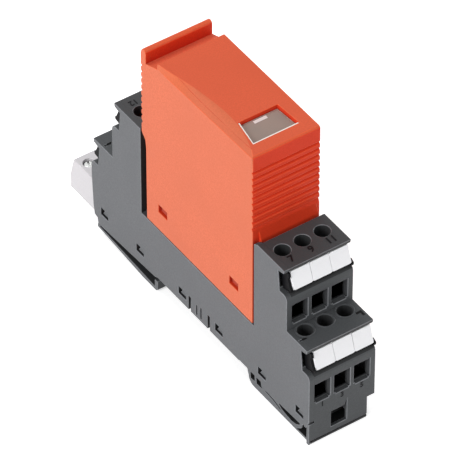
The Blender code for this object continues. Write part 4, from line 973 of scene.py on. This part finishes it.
class ARRESTER_OT_catches(bpy.types.Operator):
    """Set the spring catches at the ends of the marker strips"""
    bl_idname = "arrester.catches"
    bl_label = "Marker catches"

    def execute(self, context):
        joined = bmesh.new()
        for _, side, wall, top in STEPS:
            for outline, limits in ((CATCH, CATCH_X), (NOSE, NOSE_X)):
                ends = [[(x, side * (wall + out), top + up) for out, up in outline] for x in limits]
                taken_in(joined, mesh_of(round_edges(solid_between(*ends), CATCH_EDGE), "catch"))
        # The catches' near-black is painted shade of their recesses
        link_piece("marker_catches", joined, "Catch plastic", "base", "base_grey")
        return {"FINISHED"}


class ARRESTER_OT_plug(bpy.types.Operator):
    """Dress the plug's mouldings and its inner parts"""
    bl_idname = "arrester.plug"
    bl_label = "Plug"

    def execute(self, context):
        width = context.scene.arrester_moulding.edge
        for node in ("plug_housing", "plug_side_cover"):
            dress_moulding(node, *PLUG, width)
        for end, _ in ENDS:
            dress_nodes("Tinned copper", f"contact_comb_{end}_outer", f"contact_comb_{end}_inner")
        dress_nodes("Circuit board", "circuit_board")
        dress_nodes("Ceramic", "gas_discharge_tube_1", "gas_discharge_tube_2")
        dress_nodes("Black compound", "suppressor_diode")
        dress_nodes("Light guide", "status_light_guide")
        return {"FINISHED"}


class ARRESTER_OT_window(bpy.types.Operator):
    """Dress the status window, and set its bar and a pale strip of painted highlight along its left and front
    edges
    """
    bl_idname = "arrester.window"
    bl_label = "Status window"

    def execute(self, context):
        dress_moulding("status_window", "Smoked window", "plug", "smoked_window", WINDOW_EDGE)
        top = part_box("status_window")[1][2] / MM
        bar = box((*STATUS_BAR_LOW, top - BAR_SUNK), (*STATUS_BAR_HIGH, top + BAR_RISE))
        link_piece("status_bar", round_edges(bar, FINE_EDGE), "Status flag", "plug", "light_guide_grey")
        # Painted highlight: a near-white strip along the window's left and front edges
        (far_x, far_y), (near_x, near_y) = GLINT_FAR, GLINT_NEAR
        inner_y = near_y + GLINT_WIDTH
        outline = ((far_x, far_y), (near_x, near_y), (GLINT_RIGHT, near_y), (GLINT_RIGHT - GLINT_TAPER, inner_y),
                   (near_x + GLINT_WIDTH, inner_y), (far_x + GLINT_WIDTH, far_y))
        glint_strip = solid_between(*[[(x, y, z) for x, y in outline] for z in (top - GLINT_DEPTH, GLINT_TOP)])
        link_piece("window_lip", round_edges(glint_strip, GLINT_EDGE), "Window rim", "plug", "smoked_window")
        return {"FINISHED"}


def strip_carrier(node, side, wall, top, depth):
    """A marker strip's body without the slab of its tiles, and the slab's middle, way out and height."""
    work = tidy(merged_copy(node))
    high, low = [Vector((0.0, side * (wall - inward), top - drop)) for inward, drop in (STRIP_TOP, STRIP_LOW)]
    along = (low - high).normalized()
    out = Vector((0.0, -along.z, along.y)) * side
    if out.y * side < 0:
        out = -out
    cut = bmesh.ops.bisect_plane(work, geom=[*work.verts, *work.edges, *work.faces], dist=0.0000001,
                                 plane_co=high * MM - out * depth, plane_no=out, clear_outer=True)
    edges = [item for item in cut["geom_cut"] if isinstance(item, bmesh.types.BMEdge)]
    bmesh.ops.contextual_create(work, geom=edges)
    bmesh.ops.recalc_face_normals(work, faces=work.faces)
    return tidy(work), (high + low) / 2 * MM, out, (low - high).length * MM


class ARRESTER_OT_markers(bpy.types.Operator):
    """Dress the marker strips"""
    bl_idname = "arrester.markers"
    bl_label = "Marker strips"

    def execute(self, context):
        marker = context.scene.arrester_marker
        pitch = (STRIP_RIGHT - STRIP_LEFT) * MM / marker.tiles
        for name, side, wall, top in STEPS:
            node = "marker_strip_" + name
            work, middle, out, height = strip_carrier(node, side, wall, top, marker.thickness - TILE_SUNK)
            place = middle - out * marker.thickness
            place.x = (STRIP_LEFT + STRIP_RIGHT) / 2 * MM
            tiles = grown("Marker tiles", "Marker plastic", Width=pitch - marker.gap,
                          Height=height - TILE_SUNK, Thickness=marker.thickness, Corner=marker.corner,
                          Count=marker.tiles, Pitch=pitch, Tilt=math.atan2(-out.y, out.z), Place=tuple(place))
            round_edges(work, STRIP_EDGE)
            taken_in(work, mesh_of(round_edges(solid_of(tiles), TILE_EDGE, 40.0), "tiles"))
            link_piece(node + "_tiles", work, "Marker plastic", "base", "marker_white", node)
        return {"FINISHED"}


class ARRESTER_OT_clamps(bpy.types.Operator):
    """Dress the clamp screws and cages"""
    bl_idname = "arrester.clamps"
    bl_label = "Clamps"

    def execute(self, context):
        settings = context.scene.arrester_terminals
        for index, (name, *_) in enumerate(STEPS):
            end, level = divmod(index, len(LEVELS))
            angle = SLOT_FIRST + SLOT_BY_LEVEL * level + SLOT_BY_END * end
            for number in NUMBERS:
                place = f"{name}_{number}"
                node = "clamp_screw_" + place
                low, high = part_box(node)
                mesh = grown("Slotted screw", "Zinc plating", Head_radius=(high[0] - low[0]) / 2,
                             Head_height=HEAD_HEIGHT, Chamfer=HEAD_CHAMFER, Shank_radius=SHANK_RADIUS,
                             Length=high[2] - low[2], Ridges=settings.ridges, Ridge_height=RIDGE_HEIGHT,
                             Slot_width=settings.slot_width, Slot_depth=settings.slot_depth,
                             Slot_angle=math.radians(angle + SLOT_BY_NUMBER * (number - 1)),
                             Place=((low[0] + high[0]) / 2, (low[1] + high[1]) / 2, low[2]))
                link_piece(node + "_turned", round_edges(solid_of(mesh), FINE_EDGE, 50.0, 1),
                           "Zinc plating", "screw_" + place, "zinc_plated_steel", node)
                dress_moulding("clamp_cage_" + place, "Cage steel", "cage_" + place, "plated_steel",
                               CAGE_EDGE)
        return {"FINISHED"}


class ARRESTER_OT_connector(bpy.types.Operator):
    """Dress the pull-off connector"""
    bl_idname = "arrester.connector"
    bl_label = "Signal connector"

    def execute(self, context):
        width = context.scene.arrester_moulding.edge
        dress_moulding("signal_plug", "Connector plastic", "signal_connector", "signal_grey", width)
        for screw in numbered("signal_screw"):
            dress_moulding(screw, "Connector screw steel", screw, "zinc_plated_steel", SCREW_EDGE, 40.0, 1)
        return {"FINISHED"}


def number_mesh(text, height, relief):
    """A raised number in the XY plane, its middle at the origin and its back sunk a little."""
    curve = bpy.data.curves.new("number", "FONT")
    curve.body = text
    curve.size = height * LETTER_SIZE
    curve.align_x = "CENTER"
    curve.align_y = "CENTER"
    curve.extrude = relief
    curve.offset = height * LETTER_WEIGHT
    curve.resolution_u = 3
    holder = linked("number", curve)
    mesh = evaluated(holder)
    bpy.data.objects.remove(holder, do_unlink=True)
    bpy.data.curves.remove(curve)
    return mesh


class ARRESTER_OT_numbers(bpy.types.Operator):
    """Raise the terminal numbers on the base"""
    bl_idname = "arrester.numbers"
    bl_label = "Terminal numbers"

    def execute(self, context):
        marking = context.scene.arrester_marking
        (_, low_wall, low_top), (_, wall, top) = LEVELS
        upright = Matrix.Rotation(math.radians(90), 4, "X")
        meshes = []
        for (_, side), top_row, wall_row in zip(ENDS, TOP_NUMBERS, WALL_NUMBERS):
            turn = Matrix.Rotation(0.0 if side < 0 else math.pi, 4, "Z")
            top_share = FRONT_SHARE if side < 0 else REAR_SHARE
            for x, above, below in zip(COLUMNS, top_row, wall_row):
                flat = Matrix.Translation(Vector((x, TOP_NUMBER_SET_BACK - wall, top)) * MM)
                low = Vector((x, -low_wall, low_top - WALL_NUMBER_DROP))
                standing = Matrix.Translation(low * MM) @ upright
                for text, share, place in ((above, top_share, flat), (below, WALL_SHARE, standing)):
                    mesh = number_mesh(text, marking.height * share, marking.relief)
                    mesh.transform(turn @ place)
                    meshes.append(mesh)
        # The numbers' near-black is painted shade, standing in for the shadows on moulded numbers
        link_piece("terminal_numbers", solid_of(*meshes), "Number plastic", "base", "base_grey")
        return {"FINISHED"}


# Stage

def area_light(name, place, size, power):
    data = bpy.data.lights.new(name, "AREA")
    data.size = size
    data.energy = power
    lamp = linked(name, data)
    lamp.location = place
    lamp.rotation_euler = (Vector(LIGHTS_AIM) - Vector(place)).to_track_quat("-Z", "Y").to_euler()


def seen_directly(tree):
    """1 for the camera, in gloss and through glass, and 0 for the light that falls on the object."""
    paths = add(tree, "ShaderNodeLightPath")
    either = figure(tree, "MAXIMUM", paths.outputs["Is Camera Ray"], paths.outputs["Is Glossy Ray"])
    return figure(tree, "MAXIMUM", either, paths.outputs["Is Transmission Ray"])


def make_floor(low):
    """A pale floor that reads white and keeps the object's shadow."""
    mesh = bpy.data.meshes.new("floor")
    corners = [(x * FLOOR_HALF, y * FLOOR_HALF, low) for x, y in ((-1, -1), (1, -1), (1, 1), (-1, 1))]
    mesh.from_pydata(corners, [], [(0, 1, 2, 3)])
    tree, shader = new_material("Pale floor")
    put(shader, Base_Color=grey(0.86), Roughness=0.7)
    glow = stage_of(tree, "ShaderNodeEmission", Color=grey(1.0), Strength=FLOOR_GLOW)
    lifted = in_order(tree, "ShaderNodeAddShader", (shader.outputs[0], glow))
    seen = in_order(tree, "ShaderNodeMixShader", (seen_directly(tree), shader.outputs[0], lifted))
    put(tree.nodes["Material Output"], Surface=seen)
    mesh.materials.append(bpy.data.materials["Pale floor"])
    linked("floor", mesh)


def make_world(scene, strength):
    """Even light from all round, and plain white where the background is seen."""
    scene.world = bpy.data.worlds.new("studio")
    scene.world.use_nodes = True
    tree = scene.world.node_tree
    sky = put(tree.nodes["Background"], Color=grey(1.0), Strength=strength).outputs[0]
    white = stage_of(tree, "ShaderNodeBackground", Color=grey(1.0), Strength=1.0)
    seen = in_order(tree, "ShaderNodeMixShader", (seen_directly(tree), sky, white))
    put(tree.nodes["World Output"], Surface=seen)


def make_camera(scene, stage):
    """The photograph's camera, which looks at its target from an angle and a distance."""
    camera = bpy.data.cameras.new("camera")
    camera.lens = stage.lens
    camera.sensor_width = 36.0
    camera.clip_start = 0.05
    camera.clip_end = 20.0
    eye = linked("camera", camera)
    turn, rise = math.radians(stage.azimuth), math.radians(stage.elevation)
    outward = Vector((math.sin(turn) * math.cos(rise), -math.cos(turn) * math.cos(rise), math.sin(rise)))
    eye.location = Vector(stage.target) + outward * stage.distance
    eye.rotation_euler = (-outward).to_track_quat("-Z", "Y").to_euler()
    scene.camera = eye


class ARRESTER_OT_stage(bpy.types.Operator):
    """Set up the floor, the light, the background and the camera"""
    bl_idname = "arrester.stage"
    bl_label = "Stage"

    def execute(self, context):
        scene = context.scene
        stage = scene.arrester_stage
        scene.view_settings.view_transform = "Standard"
        make_floor(CAD_BOX[0][2] - FLOOR_GAP)
        make_world(scene, stage.sky)
        for name, place, size in LIGHTS:
            area_light(name + "_light", place, size, getattr(stage, name + "_power"))
        make_camera(scene, stage)
        return {"FINISHED"}


# Panel

class ARRESTER_PT_panel(bpy.types.Panel):
    bl_idname = "ARRESTER_PT_panel"
    bl_label = "Arrester"
    bl_space_type = "VIEW_3D"
    bl_region_type = "UI"
    bl_category = "Arrester"

    def draw(self, context):
        for name, _ in SETTINGS:
            rows = self.layout.box()
            group = getattr(context.scene, name)
            for key in group.bl_rna.properties.keys():
                if key not in ("rna_type", "name"):
                    rows.prop(group, key)
        for operator in OPERATORS:
            self.layout.operator(operator.bl_idname)


SETTINGS = (("arrester_moulding", MouldingSettings), ("arrester_marking", MarkingSettings),
            ("arrester_marker", MarkerSettings), ("arrester_terminals", TerminalSettings),
            ("arrester_stage", StageSettings))
OPERATORS = (ARRESTER_OT_materials, ARRESTER_OT_trees, ARRESTER_OT_base, ARRESTER_OT_rims,
             ARRESTER_OT_catches, ARRESTER_OT_plug, ARRESTER_OT_window, ARRESTER_OT_markers,
             ARRESTER_OT_clamps, ARRESTER_OT_connector, ARRESTER_OT_numbers, ARRESTER_OT_stage)


def register():
    for name, group in SETTINGS:
        bpy.utils.register_class(group)
        setattr(bpy.types.Scene, name, PointerProperty(type=group))
    for operator in OPERATORS:
        bpy.utils.register_class(operator)
    bpy.utils.register_class(ARRESTER_PT_panel)


def unregister():
    bpy.utils.unregister_class(ARRESTER_PT_panel)
    for operator in reversed(OPERATORS):
        bpy.utils.unregister_class(operator)
    for name, group in reversed(SETTINGS):
        delattr(bpy.types.Scene, name)
        bpy.utils.unregister_class(group)


def main():
    register()
    bpy.ops.arrester.materials()
    bpy.ops.arrester.trees()
    bpy.ops.arrester.base()
    bpy.ops.arrester.rims()
    bpy.ops.arrester.catches()
    bpy.ops.arrester.plug()
    bpy.ops.arrester.window()
    bpy.ops.arrester.markers()
    bpy.ops.arrester.clamps()
    bpy.ops.arrester.connector()
    bpy.ops.arrester.numbers()
    bpy.ops.arrester.stage()


if __name__ == "__main__":
    main()
